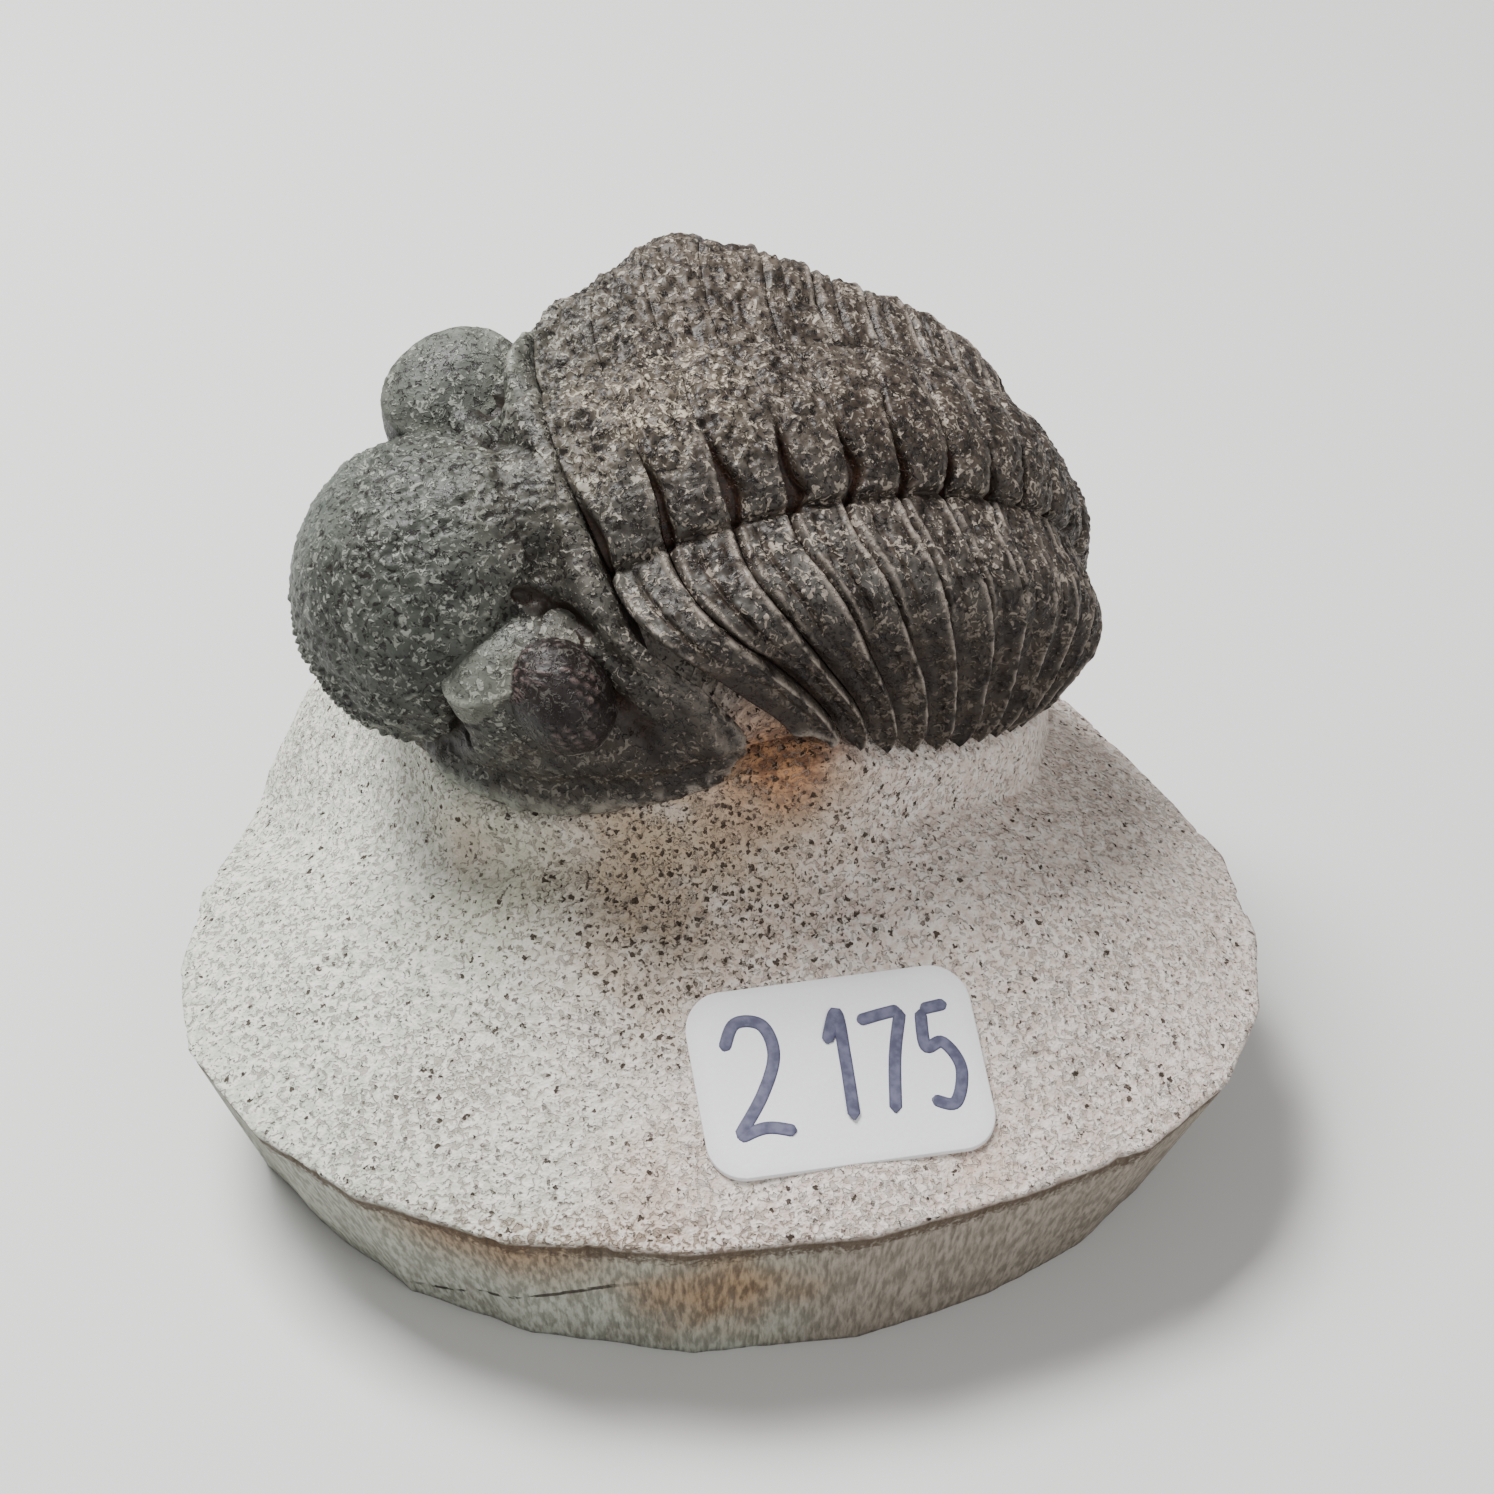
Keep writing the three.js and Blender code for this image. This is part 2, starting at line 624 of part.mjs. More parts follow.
// How far out the wall stands at a drop below its shelf
function wallReach(drop) {
  let [down, out] = [0, 0];
  for (const [nextDown, nextOut] of PEDESTAL_WALL) {
    if (drop <= nextDown) {
      return lerp(out, nextOut, (drop - down) / (nextDown - down));
    }
    [down, out] = [nextDown, nextOut];
  }
  return out;
}

// One ring of the wall, a drop below its shelf but no lower than the height at which it is sunk in
// the mound. Its flare dies out where it faces the slab's end, and it stays on the slab.
function wallLoop(shelf, down, lowest) {
  const stepped = shelf.map((point) => {
    const outwards = awayFromMiddle(point);
    const height = Math.max(point.z - down, lowest);
    const facingEnd = smoothstep(outwards.x, ...END_FACING);
    const flare = wallReach(point.z - height) * lerp(1, END_FLARE, facingEnd);
    return point.clone().addScaledVector(outwards, flare).setZ(height);
  });
  return easeLoop(stepped, WALL_EASING).map((point) => {
    const limit = rimRadius(Math.atan2(point.y, point.x)) - JOINT_GAP;
    const inside = Math.min(limit / Math.hypot(point.x, point.y), 1);
    return new THREE.Vector3(point.x * inside, point.y * inside, point.z);
  });
}

function matrixSolid() {
  return toSolid(slabGeometry()).add(toSolid(pedestalGeometry()));
}

// Quarter of an ellipsoid: the cheeks and the forehead behind the glabella, flat at the neck
function headShieldGeometry() {
  const around = 16;
  const rings = 7;
  const positions = [];
  const indices = [];
  for (let ring = 0; ring < rings; ring += 1) {
    const climb = radians(90) * ring / rings;
    for (let i = 0; i <= around; i += 1) {
      const turn = radians(180) * i / around - radians(90);
      positions.push(
        -HEAD_LENGTH * Math.cos(climb) * Math.cos(turn) - JOINT_GAP / 2,
        HEAD_HALF_WIDTH * Math.cos(climb) * Math.sin(turn),
        HEAD_MARGIN + HEAD_HEIGHT * Math.sin(climb),
      );
    }
  }
  const width = around + 1;
  for (let ring = 0; ring < rings - 1; ring += 1) {
    for (let i = 0; i < around; i += 1) {
      const a = ring * width + i;
      indices.push(a, a + 1, a + width, a + 1, a + width + 1, a + width);
    }
  }
  const crown = positions.length / 3;
  positions.push(-JOINT_GAP / 2, 0, HEAD_MARGIN + HEAD_HEIGHT);
  const floor = crown + 1;
  positions.push(-JOINT_GAP / 2, 0, HEAD_MARGIN);
  for (let i = 0; i < around; i += 1) {
    const top = (rings - 1) * width + i;
    indices.push(top, top + 1, crown);
    indices.push(i + 1, i, floor);
  }
  for (let ring = 0; ring < rings - 1; ring += 1) {
    indices.push(ring * width, (ring + 1) * width, floor);
    indices.push((ring + 1) * width + around, ring * width + around, floor);
  }
  indices.push((rings - 1) * width, crown, floor);
  indices.push(crown, (rings - 1) * width + around, floor);
  return solidGeometry(positions, indices);
}

// Ball squeezed to three radii and set in the head's frame
function ballGeometry(centre, radii, around = SMALL_BALL_FACETS) {
  const ball = new THREE.SphereGeometry(1, around, Math.round(around / 2) + 1);
  ball.rotateX(Math.PI / 2);
  ball.scale(...radii);
  ball.translate(...centre);
  return ball;
}

// A stalkless eye: a short turret that is kidney shaped from above, wider at its top than at its
// foot, with a low domed lid. side is -1 on the near side and 1 on the far side.
function eyeGeometry(centre, side) {
  const facets = 14;
  const points = EYE_PROFILE.map(([radius, height]) => (
    new THREE.Vector2(radius, height * EYE_HEIGHT)
  ));
  const turret = new THREE.LatheGeometry(points, facets);
  turret.rotateX(Math.PI / 2);
  const position = turret.getAttribute('position');
  for (let i = 0; i < position.count; i += 1) {
    const across = position.getX(i);
    const long = position.getY(i);
    const bow = EYE_BOW * (1 - long * long);
    position.setX(i, long * EYE_LENGTH / 2);
    position.setY(i, side * (across + bow) * EYE_WIDTH / 2);
  }
  turret.rotateZ(radians(side * EYE_TURN));
  turret.translate(...centre);
  return outwardFaces(mergeVertices(withoutShading(turret), 1e-4));
}

// The dome of lenses that swells out of an eye
function domeGeometry(centre, side) {
  const [x, y, z] = LENS_DOME_CENTRE;
  const dome = ballGeometry([x, side * y, z], LENS_DOME_RADII);
  dome.rotateZ(radians(side * EYE_TURN));
  dome.translate(...centre);
  return dome;
}

function withoutShading(geometry) {
  geometry.deleteAttribute('normal');
  geometry.deleteAttribute('uv');
  return geometry;
}

// Ridge with an oval section that runs over the head on an arch from the near side to the far side
function ridgeGeometry(ridge) {
  const sides = 6;
  const steps = 12;
  const loops = [];
  for (let step = 0; step <= steps; step += 1) {
    const along = radians(ridge.limit) * lerp(-1, 1, step / steps);
    const loop = [];
    for (let i = 0; i < sides; i += 1) {
      const turn = radians(360) * i / sides;
      const grow = ridge.halfHeight * Math.sin(turn);
      loop.push(new THREE.Vector3(
        ridge.x + ridge.halfWidth * Math.cos(turn),
        (ridge.width + grow) * Math.sin(along),
        ridge.foot + (ridge.height + grow) * Math.cos(along),
      ));
    }
    loops.push(loop);
  }
  return loftLoops(loops);
}

// What is cut out of the head: the room of the rock under it, and everything below its lower edge
function headHollowGeometry() {
  const columns = 12;
  const edge = HEAD_MARGIN + HEAD_CLEARANCE;
  const wide = 2 * HEAD_HALF_WIDTH;
  const deep = 2 * HEAD_MARGIN;
  const rows = [-2 * HEAD_LENGTH, -HEAD_LENGTH + 0.1, -15.5, -12.5, -9, -5, 0, 2 * GENAL_SWEEP];
  const corners = [[wide, edge], [wide, deep], [-wide, deep], [-wide, edge]];
  const loops = rows.map((along) => {
    const reach = Math.min(Math.max(along, -HEAD_LENGTH), -0.01);
    const arch = [];
    for (let column = 0; column <= columns; column += 1) {
      const across = BED_EDGE * lerp(-1, 1, column / columns);
      arch.push(headBedPoint(reach, across, HEAD_CLEARANCE).setX(along));
    }
    return [...arch, ...corners.map(([y, z]) => new THREE.Vector3(along, y, z))];
  });
  return sweepGeometry(loftLoops(loops)).applyMatrix4(HEAD);
}

function sweepGeometry(geometry) {
  const position = geometry.getAttribute('position');
  const point = new THREE.Vector3();
  for (let i = 0; i < position.count; i += 1) {
    sweepBack(point.fromBufferAttribute(position, i));
    position.setX(i, point.x);
  }
  return geometry;
}

// Flattens what reaches past the slanting cut of the rear corners
function trimGeometry(geometry) {
  const position = geometry.getAttribute('position');
  for (let i = 0; i < position.count; i += 1) {
    position.setX(i, Math.min(position.getX(i), position.getZ(i) + CORNER_CUT));
  }
  return geometry;
}

// Balls on both sides of the head, from the far one's middle and radii
function pairOfBalls([x, y, z], radii) {
  return [-1, 1].map((side) => ballGeometry([x, side * y, z], radii));
}

// The head is joined from its swellings and then cut clear of the rock under it
function headGeometry() {
  const cheeks = [
    headShieldGeometry(),
    ...pairOfBalls(CHEEK_CENTRE, CHEEK_RADII),
    ridgeGeometry(BORDER_RIDGE),
  ];
  const swellings = [
    ballGeometry(GLABELLA_CENTRE, GLABELLA_RADII, LARGE_BALL_FACETS),
    ballGeometry(FOREHEAD_CENTRE, FOREHEAD_RADII, LARGE_BALL_FACETS),
    ...pairOfBalls(NODE_CENTRE, NODE_RADII),
    ridgeGeometry(NECK_RING),
    eyeGeometry(NEAR_EYE, -1),
    eyeGeometry(FAR_EYE, 1),
    domeGeometry(NEAR_EYE, -1),
    domeGeometry(FAR_EYE, 1),
  ];
  const swept = cheeks.map((geometry) => sweepGeometry(trimGeometry(geometry)));
  const solids = [...swept, ...swellings].map((geometry) => toSolid(geometry.applyMatrix4(HEAD)));
  const head = solids.reduce((joined, solid) => joined.add(solid));
  return fromSolid(head.subtract(toSolid(headHollowGeometry())));
}

// Outline of the label, with its rounded corners, shrunk towards its middle by a share
function labelLoop(share, lift) {
  const cornerSteps = 3;
  const loop = [];
  const turn = radians(LABEL_TURN);
  for (let corner = 0; corner < 4; corner += 1) {
    const signX = corner === 0 || corner === 3 ? 1 : -1;
    const signY = corner < 2 ? 1 : -1;
    for (let step = 0; step <= cornerSteps; step += 1) {
      const angle = radians(90) * (corner + step / cornerSteps);
      const x = signX * (LABEL_LENGTH / 2 - LABEL_CORNER) + LABEL_CORNER * Math.cos(angle);
      const y = signY * (LABEL_WIDTH / 2 - LABEL_CORNER) + LABEL_CORNER * Math.sin(angle);
      loop.push([x * share, y * share * Math.cos(Math.atan(MOUND_SLOPE))]);
    }
  }
  return loop.map(([x, y]) => {
    const px = LABEL_CENTRE[0] + x * Math.cos(turn) - y * Math.sin(turn);
    const py = LABEL_CENTRE[1] + x * Math.sin(turn) + y * Math.cos(turn);
    return new THREE.Vector3(px, py, moundHeight(px, py) + lift);
  });
}

function labelGeometry() {
  const shares = [0.5, 1];
  const under = shares.map((share) => labelLoop(share, LABEL_LIFT));
  const over = shares.map((share) => labelLoop(share, LABEL_LIFT + LABEL_THICKNESS)).reverse();
  return loftLoops([...under, ...over]);
}

function named(name, geometry, material) {
  const mesh = new THREE.Mesh(geometry, material);
  mesh.name = name;
  return mesh;
}

function shellMaterial() {
  return new THREE.MeshStandardMaterial({ color: 0x3b3733, roughness: 0.62, metalness: 0 });
}

function stoneMaterial() {
  return new THREE.MeshStandardMaterial({ color: 0xc9c0b4, roughness: 0.92, metalness: 0 });
}

function paperMaterial() {
  return new THREE.MeshStandardMaterial({ color: 0xf1f1ee, roughness: 0.7, metalness: 0 });
}

const animal = new THREE.Group();
animal.applyMatrix4(ANIMAL);
animal.add(named('cephalon', headGeometry(), shellMaterial()));
for (let index = 0; index < SEGMENTS; index += 1) {
  const number = String(index + 1).padStart(2, '0');
  animal.add(named(`thoracic_segment_${number}`, segmentGeometry(index), shellMaterial()));
}
animal.add(named('pygidium', tailGeometry(), shellMaterial()));

const fossil = new THREE.Group();
fossil.add(named('matrix', fromSolid(matrixSolid()), stoneMaterial()));
fossil.add(animal);
fossil.add(named('label', labelGeometry(), paperMaterial()));

export default fossil;
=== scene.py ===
"""A half rolled-up trilobite on its pedestal of pale limestone, dressed around its solids.

Shapes are worked out in millimetres, in the frame of the solids: the slab stands on z = 0, +X runs
to the animal's tail and -Y is the side with the paper label. make_piece turns them into metres.
"""

from functools import partial

import bpy
import numpy as np
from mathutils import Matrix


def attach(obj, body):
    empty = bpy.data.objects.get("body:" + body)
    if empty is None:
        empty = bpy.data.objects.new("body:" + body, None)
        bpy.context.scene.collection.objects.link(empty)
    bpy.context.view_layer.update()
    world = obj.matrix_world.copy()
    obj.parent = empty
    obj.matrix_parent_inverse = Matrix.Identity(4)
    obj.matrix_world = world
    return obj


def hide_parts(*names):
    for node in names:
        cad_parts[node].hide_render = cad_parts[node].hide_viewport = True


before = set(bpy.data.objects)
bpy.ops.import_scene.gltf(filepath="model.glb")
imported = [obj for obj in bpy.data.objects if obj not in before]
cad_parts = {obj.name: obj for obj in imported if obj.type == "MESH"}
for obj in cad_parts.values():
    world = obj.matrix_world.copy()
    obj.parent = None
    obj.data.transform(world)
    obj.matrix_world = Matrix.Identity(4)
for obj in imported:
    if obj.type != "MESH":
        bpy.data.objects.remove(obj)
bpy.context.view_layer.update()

MM = 0.001

# Camera, in metres: where it stands, how far it looks down, its turn towards +X, and its lens
CAMERA_PLACE = (0, -0.15463, 0.14583)
CAMERA_DOWN = 38.188
CAMERA_TURN = 0.641
CAMERA_LENS = 72.29

# Slab, mound and pedestal
SLAB_HEIGHT = 12
MOUND_SLOPE = 0.5              # rise per mm from the rim inwards
MOUND_TOP = 27
PEDESTAL_WALL = ((0, 0), (0.8, 4), (3, 9), (7.5, 15), (12, 22))  # out from the shelf, down from it
END_FLARE = 0.1                # width of that wall under the tail, against elsewhere
FOOT_FILLET = 2.2
SHELF_OUT = 1.8
SHELF_DROP = 0.6
RIM_CORNERS = np.array([
    (35.7, -5, 4), (34.5, 3, 4), (30, 12.5, 4), (25, 21.5, 4), (17.5, 28.5, 3), (7, 32.5, 3),
    (-5, 33, 3), (-17, 28.8, 3), (-26.2, 19.5, 3), (-32, 10.5, 3.5), (-35.2, 0, 3.5),
    (-35.7, -8, 3.5), (-34.2, -15.5, 4), (-29, -23, 4.5), (-22.5, -28.2, 4), (-13.5, -32, 3.5),
    (-2, -33, 2.5), (9, -31.8, 2.5), (18.5, -28.4, 3), (26.5, -24.6, 4.5), (31.8, -19.3, 5),
    (34.9, -12.5, 4.5),
])

# Crack in the sawn side: height in mm at x = 0, and rise per mm towards +X
CRACK_HEIGHT = 10.35
CRACK_RISE = 0.4545

# Label and the figures written on it
LABEL_LENGTH = 18
LABEL_WIDTH = 12
LABEL_CORNER = 2.4
LABEL_THICKNESS = 0.3
LABEL_CENTRE = (7.2, -22.5)
LABEL_TURN = 10.9

# Pose of the animal and curl of its spine, in millimetres and degrees
BACK = np.array((5, 2, 49.3))
HEADING = 19
ROLL = 22.5
BACK_AT = 0.35
PITCH_FRONT = -24
CURL = (120, -96, 70)

# Thorax and tail
SEGMENTS = 11
FIRST_SEGMENT = 4.4
SEGMENT_SHRINK = 0.085
AXIS_FRONT = 6.8
AXIS_REAR = 4.3
AXIS_RISE = 0.45
AXIS_TURN = 80
AXIS_LEAN = 0.6
AXIS_SHARE = 4 / 11            # the axial lobe takes this share of the way from crest to tip
PLEURA_LENGTH = 17.5
FULCRUM = 4.5
SLOPE_INNER = 4
SLOPE_OUTER = 71
REAR_SCALE = 0.85
MIDDLE_GAIN = 0.1
FAR_SPREAD = 3.3
SWEEP_FRONT = 8.2
SWEEP_REAR = 1.8
TIP_SPREAD = 4.2               # how much further apart the tips stand than the curl brings them
SPREAD_MIDDLE = 0.3
SWEEP_FROM = 0.05
SHELL = 1.2
AIR = 0.3                      # between the shell and the rock under it
JOINT = 0.12                   # open joint between plates
FIRST_REACH = 1.2              # the first pleurae are this much broader at their front edge
TAIL_LENGTH = 10
TAIL_RIBS = 6
PLATE_ROWS = 430               # loops from tip to tip of a plate
THORAX = SEGMENTS * FIRST_SEGMENT - SEGMENT_SHRINK * SEGMENTS * (SEGMENTS - 1) / 2

# Head, in the frame of the neck joint; its ellipsoids are middles and radii
HEAD_MIDDLE = np.array((-7.5, 0, -11.5))
HEAD_LENGTH = 18
HEAD_HALF_WIDTH = 16.6
HEAD_HEIGHT = 13
HEAD_MARGIN = -14.5
GENAL_SWEEP = 3.6
CHEEK_SWEEP_FROM = 0.58
CHEEKS = ((0, 0, HEAD_MARGIN), (HEAD_LENGTH, HEAD_HALF_WIDTH, HEAD_HEIGHT))
GLABELLA = ((-11.1, 0.5, -8.5), (9.5, 9.9, 9.6))
FOREHEAD = ((-7.0, 0, -7.0), (8.5, 6.9, 7.3))
CHEEK_SWELLING = ((-3.0, 11.4, -12.2), (5.5, 5.2, 5.0))
NECK_NODE = ((-5.2, 5.5, -3.4), (1.5, 1.7, 1.5))
HEAD_GRID = (232, 320)          # rings from front to rear, and points round each ring
EYE_GRID = (92, 128)
LENS_PITCH = (0.5, 0.54)        # from file to file, and from lens to lens in a file
LENS_CIRCLE = 3.4               # radius at which the files of lenses are counted
EYE_X = {-1: -7.9, 1: -5.6}     # the near eye (-1) lies further forward, as the head is skewed
EYE_Y = 11.4
EYE_Z = -7.2
EYE_TURN = {-1: -12, 1: 14}
EYE_MIDDLE = np.array((0.6, -1.2, 0.6))
# Middles and radii of the parts of an eye: the near one (-1) shows its lenses, the far one its lobe
TURRET = {-1: ((1.2, -3.0, 0), (5.1, 2.9, 9.5)), 1: ((-0.3, 0.2, 0), (5.2, 4.2, 6.6))}
LOBE = {-1: ((0.5, -3.2, -6.0), (9.5, 7.5, 10.3)), 1: ((-1.0, 0.6, -5.4), (9.4, 8, 10.1))}
DOME = {-1: ((2.2, 0.4, 1.4), (3.05, 4.0, 3.5)), 1: ((0.1, 1.2, 0.2), (4.3, 2.9, 3.4))}
DOME_BLEND = {-1: 0.12, 1: 1.2}


# Numbers and noise

def ramp(value, low, high):
    """0 below low, 1 above high, and 3t^2 - 2t^3 between them; low may be the higher number."""
    t = np.clip((value - low) / (high - low), 0, 1)
    return t * t * (3 - 2 * t)


def lerp(a, b, t):
    return a + (b - a) * t


def bell(value, centre, width):
    """1 at the centre, falling off as exp(-(distance / width)^2)."""
    return np.exp(-((value - centre) / width) ** 2)


def smooth_max(a, b, blend):
    """The larger of two values, with their crossing rounded over a band of the given width."""
    share = np.clip(0.5 + 0.5 * (a - b) / blend, 0, 1)
    return lerp(b, a, share) + blend * share * (1 - share)


def smooth_min(a, b, blend):
    return -smooth_max(-a, -b, blend)


def lattice(corner, seed):
    """A random number between -1 and 1 for each whole corner: the fraction of a large sine."""
    key = corner @ np.array((127.1, 311.7, 74.7)) + seed * 19.19
    return np.sin(key) * 43758.5453 % 1 * 2 - 1


def noise(points, cell, seed=0):
    """Value noise between -1 and 1: random numbers on a cubic lattice, blended smoothly."""
    place = points / cell
    corner = np.floor(place)
    t = place - corner
    t = t * t * (3 - 2 * t)
    total = 0
    for step in np.ndindex(2, 2, 2):
        step = np.array(step)
        weight = np.prod(np.where(step, t, 1 - t), axis=-1)
        total = total + weight * lattice(corner + step, seed)
    return total


def rough(points, cell, seed=0):
    """Three octaves of noise, each half as strong and half as coarse as the one before."""
    return sum(noise(points, cell / 2 ** k, seed + k) / 2 ** k for k in range(3)) / 1.75


def granules(points, cell, seed=0):
    """Round grains: 1 - (distance / radius)^2 around one random point of each lattice cell."""
    place = points / cell
    corner = np.floor(place)
    nearest = np.full(points.shape[:-1], 9.0)
    for step in np.ndindex(3, 3, 3):
        cube = corner + np.array(step) - 1
        jitter = stacked(*(lattice(cube, seed + k) for k in range(3))) * 0.35
        gap = place - cube - 0.5 - jitter
        nearest = np.minimum(nearest, np.sum(gap * gap, axis=-1))
    return np.clip(1 - nearest / 0.25, 0, 1)


def turned(axis, degrees):
    """Matrix of a turn about the x, y or z axis."""
    c, s = np.cos(np.radians(degrees)), np.sin(np.radians(degrees))
    first, second = {"x": (1, 2), "y": (2, 0), "z": (0, 1)}[axis]
    matrix = np.eye(3)
    matrix[[first, second], [first, second]] = c
    matrix[first, second], matrix[second, first] = -s, s
    return matrix


# Meshes

def stacked(*parts):
    """Coordinates of one shape side by side in a last axis."""
    return np.stack(np.broadcast_arrays(*parts), axis=-1)


def closed_skin(loops, **values):
    """Points, faces and values of a closed skin over a stack of closed loops of one size.

    Neighbouring loops are joined by quads, and the first and the last are closed by fans from their
    middles. The faces are turned outwards by the sign of the volume that they enclose.
    """
    rows, columns = loops.shape[:2]
    column = np.arange(columns)
    following = (column + 1) % columns
    row = np.arange(rows - 1)[:, None] * columns
    quads = stacked(
        row + column, row + following, row + following + columns, row + column + columns)
    first = rows * columns
    end = (rows - 1) * columns
    front = stacked(first, following, column)
    back = stacked(first + 1, end + column, end + following)
    points = np.concatenate([
        loops.reshape(-1, 3), loops[0].mean(axis=0)[None], loops[-1].mean(axis=0)[None]])
    quads = quads.reshape(-1, 4)
    fans = np.concatenate([front, back])
    a, b, c = points[quads[:, 0]], points[quads[:, 1]], points[quads[:, 2]]
    if np.sum(a * np.cross(b, c)) < 0:
        quads = quads[:, ::-1]
        fans = fans[:, ::-1]
    for key, numbers in values.items():
        numbers = np.broadcast_to(numbers, (rows, columns))
        values[key] = np.concatenate([numbers.ravel(), [numbers[0].mean()], [numbers[-1].mean()]])
    return points, quads.tolist() + fans.tolist(), values


def joined(shells):
    """Several (points, faces, {name: values}) shells as one."""
    points, faces, values = [], [], {key: [] for key in shells[0][2]}
    start = 0
    for shell_points, shell_faces, shell_values in shells:
        points.append(shell_points)
        faces.extend([[index + start for index in face] for face in shell_faces])
        for key in values:
            values[key].append(shell_values[key])
        start += len(shell_points)
    return np.concatenate(points), faces, {key: np.concatenate(v) for key, v in values.items()}


def new_object(name, points, faces, material):
    """A smooth-shaded object that sits at the origin, from points in metres."""
    mesh = bpy.data.meshes.new(name)
    mesh.from_pydata(points.tolist(), [], faces)
    mesh.shade_smooth()
    mesh.materials.append(material)
    holder = bpy.data.objects.new(name, mesh)
    bpy.context.scene.collection.objects.link(holder)
    return holder


def make_piece(name, shell, material, nodes):
    """A piece of the object from points in millimetres, faces, and values kept as attributes."""
    points, faces, values = shell
    piece = new_object(name, points * MM, faces, material)
    for key, numbers in values.items():
        attribute = piece.data.attributes.new(key, "FLOAT", "POINT")
        attribute.data.foreach_set("value", numbers.astype(np.float32))
    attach(piece, "root")
    if nodes:
        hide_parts(*nodes)


# Material nodes

class Value:
    """A socket that can stand in an expression: each operator adds one Math node."""

    def __init__(self, finish, socket):
        self.finish = finish
        self.socket = socket

    def math(self, operation, *others):
        sockets = dict(enumerate((self, *others)))
        node = self.finish.add("ShaderNodeMath", {"operation": operation}, sockets)
        return Value(self.finish, node.outputs[0])

    def __add__(self, other):
        return self.math("ADD", other)

    __radd__ = __add__

    def __sub__(self, other):
        return self.math("SUBTRACT", other)

    def __rsub__(self, other):
        return self.math("MULTIPLY", -1).math("ADD", other)

    def __mul__(self, other):
        return self.math("MULTIPLY", other)

    __rmul__ = __mul__

    def __abs__(self):
        return self.math("ABSOLUTE")

    def ramp(self, low, high):
        """0 below low and 1 above high, smooth between; low may be the higher number."""
        node = self.finish.add(
            "ShaderNodeMapRange", {"interpolation_type": "SMOOTHSTEP"}, {0: self, 1: low, 2: high})
        return Value(self.finish, node.outputs[0])


class Finish:
    """One procedural material. Patterns read Object coordinates, in metres."""

    def __init__(self, name, specular=0.5):
        self.material = bpy.data.materials.new(name)
        self.material.use_nodes = True
        self.tree = self.material.node_tree
        self.tree.nodes.clear()
        self.shader = self.add("ShaderNodeBsdfPrincipled", {}, {"Specular IOR Level": specular})
        self.add("ShaderNodeOutputMaterial", {}, {"Surface": self.shader.outputs[0]})
        self.place = self.add("ShaderNodeTexCoord", {}, {}).outputs["Object"]

    def add(self, kind, settings, sockets):
        node = self.tree.nodes.new(kind)
        for key, setting in settings.items():
            setattr(node, key, setting)
        for key, content in sockets.items():
            self.connect(node.inputs[key], content)
        return node

    def connect(self, socket, content):
        if isinstance(content, Value):
            content = content.socket
        if isinstance(content, bpy.types.NodeSocket):
            self.tree.links.new(content, socket)
        else:
            socket.default_value = content

    def attribute(self, name):
        node = self.add("ShaderNodeAttribute", {"attribute_name": name}, {})
        return Value(self, node.outputs["Fac"])

    def axis(self, letter):
        node = self.add("ShaderNodeSeparateXYZ", {}, {0: self.place})
        return Value(self, node.outputs[letter])

    def vector(self, operation, *inputs):
        return self.add("ShaderNodeVectorMath", {"operation": operation}, dict(enumerate(inputs)))

    def stretched(self, scale):
        """Object coordinates with each axis multiplied by its own number."""
        return self.vector("MULTIPLY", self.place, scale).outputs[0]

    def noise(self, size, detail=3, place=None, distortion=0.0):
        """Noise between 0 and 1 whose lumps are about size metres across."""
        node = self.add("ShaderNodeTexNoise", {}, {
            "Vector": place or self.place, "Scale": 1 / size, "Detail": detail,
            "Distortion": distortion})
        return Value(self, node.outputs["Fac"])

    def cells(self, size, place):
        """Distance from the nearest cell point, and that cell's random number."""
        node = self.add("ShaderNodeTexVoronoi", {}, {"Vector": place, "Scale": 1 / size})
        colour = self.add("ShaderNodeSeparateXYZ", {}, {0: node.outputs["Color"]})
        return Value(self, node.outputs["Distance"]), Value(self, colour.outputs[0])

    def near(self, centre, radius, ragged=0.25):
        """1 near a point given in millimetres, 0 beyond its radius, with an uneven edge."""
        centre = tuple(number * MM for number in centre)
        gap = self.vector("DISTANCE", self.place, centre)
        distance = Value(self, gap.outputs["Value"]) * (1 / (radius * MM))
        return (distance + (self.noise(radius * MM * 0.5) - 0.5) * ragged * 4).ramp(1, 0)

    def wavy(self, size, reach):
        """Object coordinates pushed about by noise, so that what is drawn on them is irregular."""
        node = self.add("ShaderNodeTexNoise", {}, {
            "Vector": self.place, "Scale": 1 / size, "Detail": 1})
        centred = self.vector("SUBTRACT", node.outputs["Color"], (0.5, 0.5, 0.5))
        push = self.vector("MULTIPLY", centred.outputs[0], (2 * reach,) * 3)
        return self.vector("ADD", self.place, push.outputs[0]).outputs[0]

    def mix(self, factor, low, high):
        """low where the factor is 0 and high where it is 1; colours are linear red, green, blue."""
        node = self.add("ShaderNodeMix", {"data_type": "RGBA"}, {"Factor": factor})
        for key, colour in ((6, low), (7, high)):
            self.connect(node.inputs[key], (*colour, 1) if isinstance(colour, tuple) else colour)
        return node.outputs[2]

    def painted(self, colour, *coats):
        """The colour under coats laid on in turn, each a share between 0 and 1 and its colour."""
        for share, coat in coats:
            colour = self.mix(share, colour, coat)
        return colour

    def bump(self, height, depth):
        """Normal of a surface raised by height times depth in millimetres."""
        return self.add("ShaderNodeBump", {}, {
            "Height": height, "Distance": depth * MM, "Strength": 1.0}).outputs[0]

    def surface(self, **links):
        for key, content in links.items():
            self.connect(self.shader.inputs[key.replace("_", " ")], content)
        return self.material


# The body of the animal

def segment_start(index):
    return index * FIRST_SEGMENT - SEGMENT_SHRINK * index * (index - 1) / 2


